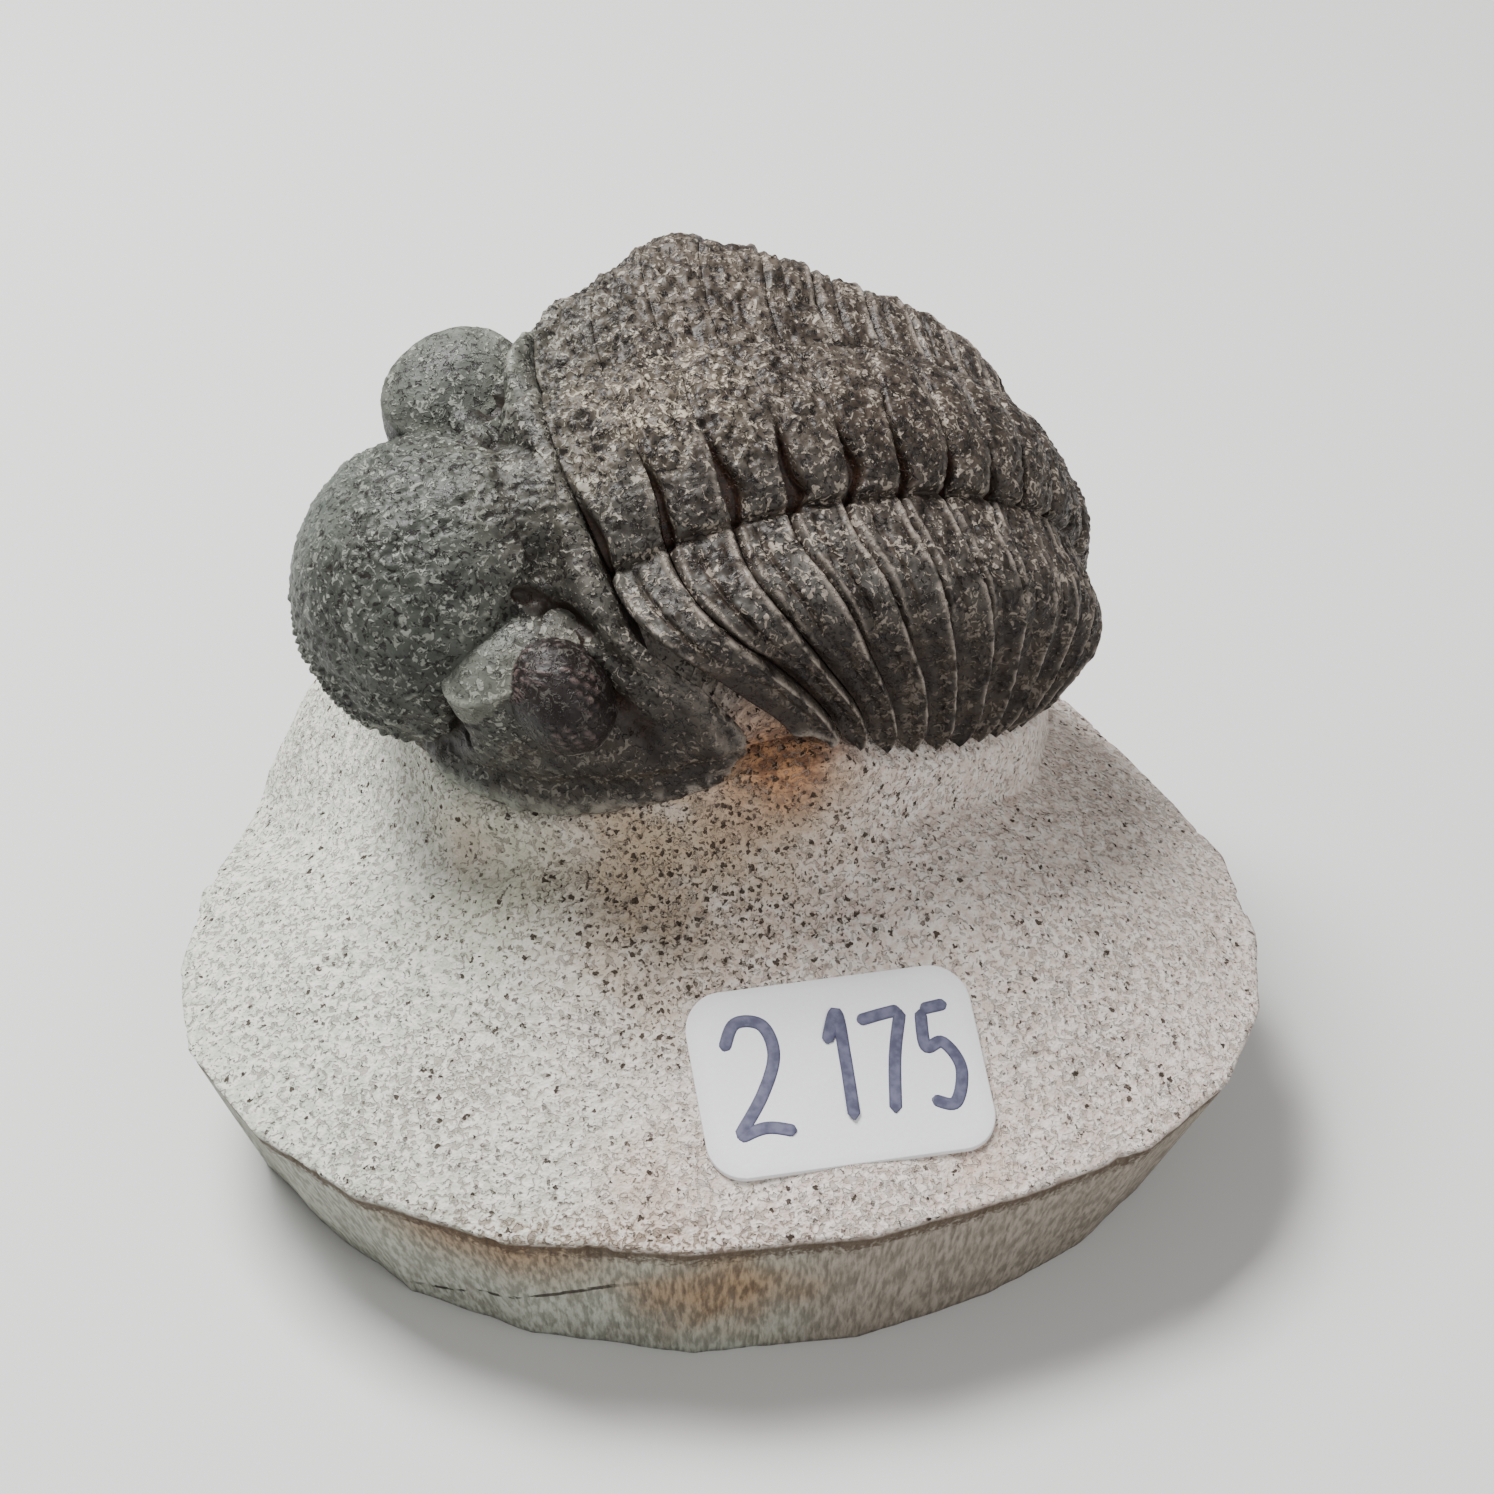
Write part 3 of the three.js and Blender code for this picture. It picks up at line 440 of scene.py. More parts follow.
def spine_pitch(along):
    """Pitch of the back in radians: the front's, plus three powers of the way back."""
    u = np.maximum(along / THORAX, 0)
    return np.radians(PITCH_FRONT + CURL[0] * u + CURL[1] * u ** 2 + CURL[2] * u ** 3)


def running_sum(steps):
    return np.concatenate([[0], np.cumsum(steps)])


SPINE_ALONG = np.linspace(-5, THORAX + TAIL_LENGTH + 2, 600)
SPINE_MIDDLES = (SPINE_ALONG[1:] + SPINE_ALONG[:-1]) / 2
SPINE_X = running_sum(np.cos(spine_pitch(SPINE_MIDDLES)) * np.diff(SPINE_ALONG))
SPINE_Z = -running_sum(np.sin(spine_pitch(SPINE_MIDDLES)) * np.diff(SPINE_ALONG))
SPINE_X -= np.interp(0, SPINE_ALONG, SPINE_X)
SPINE_Z -= np.interp(0, SPINE_ALONG, SPINE_Z)

PLEURA_WAY = np.linspace(0, PLEURA_LENGTH, 200)
PLEURA_SLOPE = np.radians(lerp(
    SLOPE_INNER, SLOPE_OUTER, ramp(PLEURA_WAY, FULCRUM - 1.5, FULCRUM + 5.5)))
PLEURA_OUT = running_sum(np.cos(PLEURA_SLOPE[:-1]) * np.diff(PLEURA_WAY))
PLEURA_DOWN = running_sum(np.sin(PLEURA_SLOPE[:-1]) * np.diff(PLEURA_WAY))


def body_scale(along):
    """Width of the pleurae against the first: narrowing over the thorax, round over the tail."""
    u = np.clip(along / THORAX, 0, 1)
    beyond = np.clip((along - THORAX) / (TAIL_LENGTH + 1), 0, 1)
    thorax = lerp(1, REAR_SCALE, u * u) + MIDDLE_GAIN * np.sin(np.pi * u)
    return thorax * np.sqrt(1 - 0.9 * beyond * beyond)


def carapace(along, across, lift):
    """Point of the body: the spine's point, plus a cross-section that is square to the spine.

    across runs from -1 (near tip) over 0 (crest) to 1 (far tip). Its first part is the arch of the
    axial lobe, y = a sin(turn), z = -rise a (1 - cos(turn)); the rest follows the pleura's trace of
    slopes. lift moves the point along the outward normal of the section.
    """
    along, across, lift = np.broadcast_arrays(along, across, lift)
    t = np.abs(across)
    side = np.sign(across)
    u = np.clip(along / THORAX, 0, 1)
    scale = body_scale(along)
    tail_scale = np.where(along > THORAX, np.sqrt(scale / REAR_SCALE), 1)
    axis = lerp(AXIS_FRONT, AXIS_REAR, u) * tail_scale
    turn = np.radians(AXIS_TURN) * np.minimum(t / AXIS_SHARE, 1)
    share = np.maximum(t - AXIS_SHARE, 0) / (1 - AXIS_SHARE)
    way = share * PLEURA_LENGTH
    out = np.interp(way, PLEURA_WAY, PLEURA_OUT)
    down = np.interp(way, PLEURA_WAY, PLEURA_DOWN)
    bulge = np.where(side > 0, FAR_SPREAD * ramp(u, 0.03, 0.25) * ramp(u, 0.62, 0.22), 0)
    y = axis * np.sin(turn) / np.sin(np.radians(AXIS_TURN)) + out * scale
    y = y + bulge * np.minimum(out / FULCRUM, 1)
    z = -AXIS_RISE * axis * (1 - np.cos(turn)) - down * scale
    arch_slope = np.arctan(AXIS_RISE * np.tan(turn) * AXIS_LEAN)
    pleura_slope = np.interp(way, PLEURA_WAY, PLEURA_SLOPE)
    slope = lerp(arch_slope, pleura_slope, ramp(t, AXIS_SHARE - 0.07, AXIS_SHARE + 0.01))
    y = y + lift * np.sin(slope)
    z = z + lift * np.cos(slope)
    sweep = lerp(SWEEP_FRONT, SWEEP_REAR, u) * ramp(share, SWEEP_FROM, 1)
    spread = TIP_SPREAD * (u - SPREAD_MIDDLE) * ramp(share, SWEEP_FROM, 1)
    pitch = spine_pitch(along)
    x = np.interp(along, SPINE_ALONG, SPINE_X) + z * np.sin(pitch) + sweep * np.cos(pitch) + spread
    height = np.interp(along, SPINE_ALONG, SPINE_Z) + z * np.cos(pitch) - sweep * np.sin(pitch)
    return stacked(x, side * y, height)


ANIMAL_TURN = turned("z", HEADING) @ turned("x", ROLL)
HEAD_TILT = turned("y", PITCH_FRONT)
BACK_POINT = carapace(BACK_AT * THORAX, 0.0, 0.0)


def to_world(points):
    """From the animal's frame to the frame of the solids."""
    return (points - BACK_POINT) @ ANIMAL_TURN.T + BACK


def joint_wander(index, across):
    """How far the joint in front of a plate strays along the spine: waves, none at the tips."""
    t = np.abs(across)
    wave = 0.16 * np.sin(9 * across + 2.4 * index) + 0.1 * np.sin(23 * across + 5.1 * index)
    return wave * ramp(t, 1, 0.8)


def crust(along, across):
    """How far a crust of rock still fills the joints: all over the crest and the far side of the
    first plates, fading along a wavy line above the near axial furrow and towards the rear."""
    u = along / THORAX
    wander = 0.05 * np.sin(1.3 * along)
    upper = ramp(across + wander, -0.19, -0.02) * ramp(u, 0.62, 0.3)
    return upper * (1 - ramp(across, 0.5, 0.75) * ramp(u, 0.15, 0.35))


SLIT_WIDTHS = (0.14, 0.16, 0.27, 0.3, 0.27, 0.24, 0.2, 0.18, 0.16, 0.14, 0.12)


def pleura_share(across):
    """0 on the axial lobe, rising to 1 along the pleura to its tip."""
    return np.clip((np.abs(across) - AXIS_SHARE) / (1 - AXIS_SHARE), 0, 1)


def distal_share(across):
    """0 on the flat inner part of the pleurae, 1 where they overlap like slats."""
    return ramp(pleura_share(across), 0.28, 0.6)


def segment_lift(index, place, across):
    """Relief of one plate over the carapace, in millimetres.

    place runs from its front edge (0) to its rear edge (1). On the axis a slit in front of a flat
    round ring. The inner pleura is a plateau with a narrow furrow and a thin ridge at each edge;
    further out it becomes a slat that rises from a sunk front edge to a sharp rear edge.
    """
    t = np.abs(across)
    ragged = 1 + 0.2 * np.sin(23 * across + 3.1 * index)
    slit = lerp(0.05, SLIT_WIDTHS[index] * ragged, ramp(t, 0.04, 0.26))
    slit = slit * (1 - 0.35 * ramp(t, AXIS_SHARE - 0.07, AXIS_SHARE))
    crest = np.sin(np.pi * np.clip((place - slit) / (1.03 - slit), 0, 1)) ** 0.5
    ring = lerp(-1.0, -0.05, ramp(place, 0.7 * slit, slit + 0.05)) + 0.34 * crest
    share = pleura_share(across)
    plateau = 0.3 * ramp(place, 0.0, 0.07) * ramp(place, 1.0, 0.95) - 0.1
    furrow = -0.42 * bell(place, 0.4, 0.055) * ramp(share, 0.02, 0.12)
    ridges = 0.16 * (bell(place, 0.11, 0.05) + bell(place, 0.9, 0.05))
    slat = lerp(-0.6, 0.3, ramp(place, -0.1, 0.85)) + 0.26 * bell(place, 0.89, 0.055)
    slat = slat - 0.35 * ramp(place, 0.95, 1) - 0.2 * bell(place, 0.5, 0.16)
    pleura = lerp(plateau + furrow + ridges, slat, distal_share(across))
    pleura = pleura * (1 - 0.5 * ramp(t, 0.93, 1))
    lift = lerp(ring, pleura, ramp(t, AXIS_SHARE - 0.012, AXIS_SHARE + 0.022))
    lift = lift - 0.3 * bell(t, AXIS_SHARE, 0.018)
    along = lerp(segment_start(index), segment_start(index + 1), place)
    filled = crust(along, across)
    return lerp(lift, 0.22 + 0.1 * lift, filled)


def segment_wear(index, place, across):
    """Where a plate is rubbed pale, 0 to 1: along the ridge of its rear edge and, less, of its
    front edge, and round the first plate's tip."""
    t = np.abs(across)
    on_pleura = ramp(t, AXIS_SHARE, AXIS_SHARE + 0.04)
    front = 0.7 * bell(place, 0.11, 0.05) * (1 - distal_share(across))
    tip = 0.8 * ramp(t, 0.955, 0.99) * (index == 0)
    ring = 0.35 * bell(place, 0.93, 0.06)
    return lerp(ring, bell(place, 0.9, 0.055) + front, on_pleura) + tip


def grain(points, lift, filled, pale_edges):
    """Fine unevenness of the shell: soft waves, grains on what stands high, and the coarser lumps
    of the crust. Rubbed edges are smoother."""
    high = ramp(lift, -0.4, 0.1) * (1 - 0.6 * pale_edges)
    lumps = (0.3 * rough(points, 1.2, 7) + 0.22 * noise(points, 0.5, 17)) * filled
    fine = 0.11 * noise(points, 0.42, 13) + 0.1 * granules(points, 0.5, 11)
    return 0.12 * rough(points, 1.6, 3) + fine * high + lumps


def plate_shell(edges, lift_of, wear_of, columns, under, tip_start):
    """A plate as a loft from tip to tip. Each loop is the outer line from front to rear, and back
    along the inner side, SHELL deep. Beyond tip_start the loops shrink to a rounded end."""
    across = np.linspace(-1, 1, PLATE_ROWS)[:, None]
    front, rear = edges(across)
    past = np.maximum(np.abs(across) - tip_start, 0) / (1.0005 - tip_start)
    round_end = np.sqrt(np.clip(1 - past ** 2, 0.02, 1))
    middle = lerp(front, rear, 0.55)
    front = lerp(middle, front, round_end)
    rear = lerp(middle, rear, round_end)
    place = np.linspace(0, 1, columns)[None, :]
    along = lerp(front, rear, place)
    lift = lift_of(place, across)
    filled = crust(along, across)
    worn = np.clip(wear_of(place, across), 0, 1) * (1 - 0.85 * filled)
    base = carapace(along, across, 0)
    outer = carapace(along, across, lift + grain(base, lift, filled, worn))
    back = np.linspace(1, 0, under)[None, :]
    inner = carapace(lerp(front, rear, back), across, -SHELL * lerp(0.35, 1, round_end))

    def with_inner(shown, hidden):
        """Values of the outer side, with one number for the inner side after them."""
        shown = np.broadcast_to(shown, along.shape)
        return np.concatenate([shown, np.full((PLATE_ROWS, under), float(hidden))], axis=1)

    # The slats of the pleurae, where they face down, are painted darker in the finish: painted
    # shade.
    return closed_skin(
        to_world(np.concatenate([outer, inner], axis=1)), relief=with_inner(lift, -1),
        worn=with_inner(worn, 0), crust=with_inner(filled, 0),
        distal=with_inner(distal_share(across), 1), lens=0.0)


def segment_shell(index):
    """One plate of the thorax, from joint to joint."""
    def edges(across):
        start = segment_start(index) + joint_wander(index, across) * (index > 0)
        end = segment_start(index + 1) + joint_wander(index + 1, across)
        filled = crust(start, across)
        start = start + (JOINT / 2 * (1 - 0.9 * filled) if index else JOINT / 2 - 0.14 * filled)
        end = end - JOINT / 2 * (1 - 0.9 * crust(end, across))
        if index == 0:
            start = start - FIRST_REACH * ramp(np.abs(across), 0.6, 0.86)
        return start, end

    return plate_shell(
        edges, partial(segment_lift, index), partial(segment_wear, index), columns=44, under=6,
        tip_start=0.93 if index else 0.96)


def tail_shell():
    """The tail shield: ribs as a wave along the spine that fades to a smooth rim."""
    def edges(across):
        start = THORAX + joint_wander(SEGMENTS, across) + JOINT / 2
        return start, THORAX + TAIL_LENGTH + 0 * across

    def lift_of(place, across):
        t = np.abs(across)
        fade = ramp(place, 0.95, 0.6)
        wave = 0.38 * np.abs(np.sin(np.pi * TAIL_RIBS * place)) ** 0.7 - 0.25
        ribs = wave * fade * ramp(t, 0.96, 0.86)
        axis = 0.5 * ramp(place, 0.9, 0.75) * ramp(t, AXIS_SHARE, AXIS_SHARE - 0.05)
        rim = 0.3 * ramp(place, 0.93, 1) + 0.2 * ramp(t, 0.85, 0.95)
        return ribs + axis + rim - 0.4 * bell(t, AXIS_SHARE, 0.025) * fade

    def wear_of(place, across):
        crest = np.abs(np.sin(np.pi * TAIL_RIBS * place)) ** 8
        return 0.8 * crest * ramp(place, 0.9, 0.6) * ramp(np.abs(across), AXIS_SHARE, 0.45)

    return plate_shell(edges, lift_of, wear_of, columns=120, under=16, tip_start=0.93)


# The head

def sphere_rays(rows, columns, crowding=0.0):
    """Unit vectors on rings round the x axis, from the front pole to the rear pole. They crowd
    towards the top as each ring's turn is moved by crowding times its cosine."""
    polar = np.linspace(0, np.pi, rows + 2)[1:-1, None]
    turn = np.linspace(0, 2 * np.pi, columns, endpoint=False)[None, :]
    turn = turn + crowding * np.cos(turn)
    return stacked(-np.cos(polar), np.sin(polar) * np.cos(turn), np.sin(polar) * np.sin(turn))


def ellipsoid_exit(middle, rays, centre, radii):
    """Distance at which each ray from the middle leaves an ellipsoid, and 0 where it misses: the
    larger root r of |(middle + r direction - centre) / radii| = 1."""
    start = (middle - np.array(centre)) / radii
    way = rays / np.array(radii)
    a = np.sum(way * way, axis=-1)
    b = np.sum(way * start, axis=-1)
    c = np.sum(start * start) - 1
    root = b * b - a * c
    return np.where(root > 0, (-b + np.sqrt(np.maximum(root, 0))) / a, 0)


def plane_exit(middle, rays, normal, offset):
    """Distance at which each ray crosses the plane normal . point = offset; far if never."""
    closing = rays @ np.array(normal)
    gap = offset - np.dot(middle, normal)
    return np.where(closing > 1e-6, gap / np.maximum(closing, 1e-6), 1e3)


def sweep_back(points):
    """Pulls the rear corners of the head towards the tail."""
    outer = ramp(np.abs(points[..., 1]), CHEEK_SWEEP_FROM * HEAD_HALF_WIDTH, HEAD_HALF_WIDTH)
    rear = ramp(points[..., 0], -0.6 * HEAD_LENGTH, 0)
    moved = points.copy()
    moved[..., 0] += GENAL_SWEEP * outer * rear
    return moved


def head_to_world(points):
    return to_world(points @ HEAD_TILT.T)


def eye_moat_share(points, side):
    """1 in the furrow behind the dome of an eye: an oval ring, seen from above, that fades towards
    the front."""
    away = points[..., :2] - np.array((EYE_X[side], side * EYE_Y))
    away = away @ turned("z", side * EYE_TURN[side])[:2, :2] * (1, side) - DOME[side][0][:2]
    ring = np.hypot(away[..., 0] / 3.6, away[..., 1] / 5)
    return bell(ring, 1.05, 0.17) * ramp(away[..., 0], 0.2, 1.8) * ramp(away[..., 1], 4.2, 2.2)


def long_grains(points, cell, seed):
    """Grains drawn out along the head into rows, by squeezing the coordinates in that direction."""
    run = np.array((0.986, 0.13, -0.06))
    run = run / np.linalg.norm(run)
    squeezed = points - 0.6 * (points @ run)[..., None] * run
    return granules(squeezed, cell, seed)


def head_relief(points, glabella, cheeks):
    """Furrows and ridges of the head in millimetres, from the bare shape's points and from how far
    along the rays its glabella and its cheeks lie."""
    x, y, z = np.moveaxis(points, -1, 0)
    aside = np.abs(y)
    arch = np.degrees(np.arctan2(aside, z - HEAD_MARGIN))
    border = 0.9 * bell(x, -1.5, 1.1) * ramp(arch, 88, 76) * ramp(aside, 5, 8)
    far_ridge = bell(x, -1.0, 1.5) * bell(y, 10.5, 2.6)
    border_furrow = -1.1 * bell(x, -4.1, 1.0) * ramp(aside, 6.5, 8.5) * ramp(arch, 80, 66)
    neck_ring = 0.9 * bell(x, -1.4, 1.25) * ramp(aside, 7.4, 5.6)
    neck_furrow = -0.35 * bell(x, -3.7, 0.8) * ramp(aside, 7, 5.5)
    depth = lerp(0.25, 0.9, ramp(z, -5.0, -8.0)) * ramp(z, -14.5, -12)
    axial_furrow = -depth * bell(glabella - cheeks, 0, 0.55)
    rim = 0.45 * bell(z, -13.6, 0.8) - 0.45 * bell(z, -11.6, 0.8) * (x < -1)
    rim = (rim + 0.1 * np.sin(z * 11) * bell(z, -12.6, 1.2)) * ramp(aside, 7, 9)
    eye_moat = -1.1 * sum(eye_moat_share(points, side) for side in (-1, 1))
    furrows = border_furrow + neck_furrow + axial_furrow + eye_moat
    return border + far_ridge + neck_ring + rim + furrows


def head_shell():
    """The head shield: along each ray from its middle the outermost of cheeks, glabella and nodes,
    cut off by the neck and the lower edge, and raised or sunk by its relief."""
    middle = HEAD_MIDDLE
    rays = sphere_rays(*HEAD_GRID, crowding=0.5)

    def leaves(shape, side=1):
        centre, radii = shape
        return ellipsoid_exit(middle, rays, centre * np.array((1, side, 1)), radii)

    cheeks = leaves(CHEEKS)
    glabella = smooth_max(leaves(GLABELLA), leaves(FOREHEAD), 1.2)
    for side in (-1, 1):
        under_eye = ((EYE_X[side] + 1.4, 8.4, -8.3), (6.2, 4.2, 5.2))
        cheeks = smooth_max(cheeks, leaves(CHEEK_SWELLING, side), 0.8)
        cheeks = smooth_max(cheeks, leaves(under_eye, side), 0.9)
    bare = smooth_max(cheeks, glabella, 0.35)
    for side in (-1, 1):
        bare = smooth_max(bare, leaves(NECK_NODE, side), 0.3)
    neck = plane_exit(middle, rays, (1, 0, 0), -0.15)
    floor = plane_exit(middle, rays, (0, 0, -1), -HEAD_MARGIN)
    corner = plane_exit(middle, rays, (0.7071, 0, -0.7071), 8.1)
    cut = smooth_min(smooth_min(neck, floor, 0.4), corner, 1.2)
    outside = ramp(cut - bare, -0.3, 0.3)
    base = middle + rays * np.minimum(bare, cut)[..., None]
    relief = head_relief(base, glabella, cheeks) * outside
    x, y, z = np.moveaxis(base, -1, 0)

    on_glabella = ramp(glabella - cheeks, 0, 0.5)
    smooth = ramp(z, -9.2, -11.2) * on_glabella
    calm = ramp(x, -13, -17) * ramp(y, -4, 0)
    grainy = ramp(z, -3.2, -5.2) * (on_glabella - smooth) * (1 - 0.6 * ramp(y, -1, 4))
    net = 0.24 * (1 - np.abs(rough(base, 1.3, 35))) ** 3 * (1 - 0.7 * calm)
    pimples = 0.1 * noise(base, 0.4, 31) + 0.08 * granules(base, 0.5, 33)
    fine = 0.1 * rough(base, 1.3, 5) + 0.42 * long_grains(base, 0.7, 21) * grainy
    fine = fine + (pimples + net) * (1 - grainy) * (1 - smooth)
    loops = middle + rays * smooth_min(bare, cut, 0.5)[..., None]
    normal = lerp(
        (loops - CHEEKS[0]) / np.square(CHEEKS[1]) * 14, (loops - GLABELLA[0]) / 9.6,
        ramp(glabella - cheeks, -0.4, 0.4)[..., None])
    normal = normal / np.linalg.norm(normal, axis=-1, keepdims=True)
    loops = loops + normal * (relief + fine * outside)[..., None]

    lower_edge = ramp(np.abs(y), 7, 9) * bell(z, -13.4, 0.5) * 0.9
    corner_edge = ramp(np.abs(y), 10, 13) * bell(cut - bare, 0.4, 0.6)
    border_edge = bell(x, -1.3, 0.4) * (0.35 + 0.5 * (y > 0)) * ramp(np.abs(y), 7, 10)
    # Painted shade: the lower cheeks, the axial furrow beside the glabella and, less, the smooth
    # lower glabella are painted darker in the finish, where shade falls.
    cheek = ramp(np.abs(y), 9.5, 12) * ramp(z, -6, -9) * (1 - on_glabella)
    furrow = bell(glabella - cheeks, -0.3, 1.5) * ramp(z, -4, -7)
    return closed_skin(
        head_to_world(sweep_back(loops)),
        relief=np.where(outside > 0.02, np.minimum(relief, 0.1) + fine * 2, -1.0),
        worn=np.clip(lower_edge + corner_edge + border_edge, 0, 1),
        crust=0.5 * ramp(z, -3.5, -1.5) * ramp(x, -9, -4),
        distal=np.maximum(np.maximum(cheek * 0.85, furrow), smooth * 0.3), lens=0.0)


def eye_shell(side):
    """One eye: rays from its middle leave either a low turret with a flat lobe on top, or the dome
    of lenses that swells from its outer rear. A thin rim runs round the lobe, and the lenses are
    rows of small bumps on the outside."""
    rays = sphere_rays(*EYE_GRID)
    middle = EYE_MIDDLE
    turret = ellipsoid_exit(middle, rays, *TURRET[side])
    lobe = ellipsoid_exit(middle, rays, *LOBE[side])
    foot = plane_exit(middle, rays, (0, 0, -1), 2.5)
    dome = ellipsoid_exit(middle, rays, *DOME[side])
    capped = smooth_min(turret, lobe, 0.2) + 0.14 * bell(turret - lobe, -0.05, 0.2)
    distance = smooth_min(smooth_max(capped, dome, DOME_BLEND[side]), foot, 0.4)
    base = middle + rays * distance[..., None]
    on_dome = ramp(dome - capped, -0.02, 0.2)
    on_wall = ramp(turret - lobe, -0.15, -0.45)
    outward = ramp(rays[..., 1], -0.25, 0.1) * ramp(rays[..., 0], -0.75, -0.3)
    up = base[..., 2]
    lens = np.maximum(on_dome * np.maximum(outward, side < 0), on_wall * outward) * ramp(up, 0, 0.7)
    around = np.arctan2(rays[..., 1], rays[..., 0]) * LENS_CIRCLE / LENS_PITCH[0]
    file = np.floor(around)
    cell_z = (up / LENS_PITCH[1] + 0.5 * (file % 2)) % 1 - 0.5
    dots = np.clip(1 - ((around - file - 0.5) ** 2 + cell_z ** 2) / 0.2, 0, 1)
    patchy = ramp(rough(base, 2.2, 29), -0.25, 0.25)
    distance = distance + 0.1 * rough(base + 40, 0.9, 9) + 0.2 * dots * lens * patchy
    loops = middle + rays * distance[..., None]
    loops = loops * np.array((1, side, 1)) @ turned("z", side * EYE_TURN[side]).T
    loops = loops + np.array((EYE_X[side], side * EYE_Y, EYE_Z))
    edge = bell(turret - lobe, 0.1, 0.45)
    # Painted light: the near eye's lobe is painted pale all over where it catches the light, and
    # the rim round each lobe is a painted highlight.
    pale = np.maximum(edge, 0.3) if side < 0 else 0.35 * edge
    return closed_skin(
        head_to_world(loops), relief=lerp(0.15, 0.4 * dots * patchy - 0.05, lens),
        worn=pale * (1 - on_dome) * ramp(up, 0, 1), crust=0.0, distal=0.0, lens=lens)


# The stone

STONE_MIDDLE = np.array((0.0, 4.0))
STONE_COLUMNS = 560


def rim_line():
    """Dense points along the sawn rim: x, y and lean, straight from corner to corner."""
    following = np.roll(RIM_CORNERS, -1, axis=0)
    steps = np.linspace(0, 1, 40, endpoint=False)[None, :, None]
    return lerp(RIM_CORNERS[:, None], following[:, None], steps).reshape(-1, 3)


def by_angle(angles, points, middle):
    """Reads a closed outline at the given angles round a middle."""
    outline = np.arctan2(points[:, 1] - middle[1], points[:, 0] - middle[0])
    order = np.argsort(outline)
    return stacked(*(
        np.interp(angles, outline[order], column[order], period=2 * np.pi) for column in points.T))


RIM_ANGLES = np.arctan2(rim_line()[:, 1], rim_line()[:, 0])
RIM_RADII = np.hypot(rim_line()[:, 0], rim_line()[:, 1])


def mound_height(x, y):
    """Height of the mound: it rises evenly from the rim inwards, and ends level in the pedestal."""
    rim = np.interp(np.arctan2(y, x), RIM_ANGLES, RIM_RADII, period=2 * np.pi)
    return np.minimum(SLAB_HEIGHT + MOUND_SLOPE * (rim - np.hypot(x, y)), MOUND_TOP)


BED_EDGE = 1 + 2 * AIR / PLEURA_LENGTH
BED_FRONT = -14.5
BED_REAR = THORAX + TAIL_LENGTH + 2 * AIR


def bed_point(along, across):
    """Rock under the carapace: under the head an arch that narrows and sinks to the front, behind
    the neck the carapace itself, sunk by its thickness and a little air."""
    behind = np.maximum(along, 0)
    arch = np.cos(across / BED_EDGE * np.pi / 2)
    neck = 5.5 * arch * ramp(behind, 2.4, 0.3)
    cheek = ramp(np.abs(across), 0.38, 0.7) * ramp(behind, 3 * GENAL_SWEEP, 0)
    body = carapace(behind + cheek * GENAL_SWEEP, across, -SHELL - AIR - neck)
    x = np.clip(along, BED_FRONT, -0.01)
    turn = across / BED_EDGE * np.pi / 2
    width = np.sqrt(1 - (x / HEAD_LENGTH) ** 2) * (HEAD_HALF_WIDTH - SHELL - AIR)
    rise = np.cos(turn) * ramp(x, -HEAD_LENGTH, -2)
    head = stacked(x, width * np.sin(turn), lerp(HEAD_MARGIN, -7, rise))
    head = sweep_back(head) @ HEAD_TILT.T
    return to_world(np.where((along < 0)[..., None], head, body))


def bed_outline(angles):
    """Edge of the bed at each angle round the middle: its place along and across the animal."""
    steps = np.linspace(0, 1, 400, endpoint=False)
    along = np.concatenate([
        lerp(BED_FRONT, BED_REAR, steps), np.full(400, BED_REAR), lerp(BED_REAR, BED_FRONT, steps),
        np.full(400, BED_FRONT)])
    across = BED_EDGE * np.concatenate([
        np.full(400, -1.0), lerp(-1, 1, steps), np.full(400, 1.0), lerp(1, -1, steps)])
    edge = bed_point(along, across)
    outline = np.column_stack([edge[:, 0], edge[:, 1], along, across])
    return by_angle(angles, outline, STONE_MIDDLE)[:, 2:]


def eased(values, reach):
    """Running mean round a closed loop."""
    return sum(np.roll(values, k, axis=0) for k in range(-reach, reach + 1)) / (2 * reach + 1)


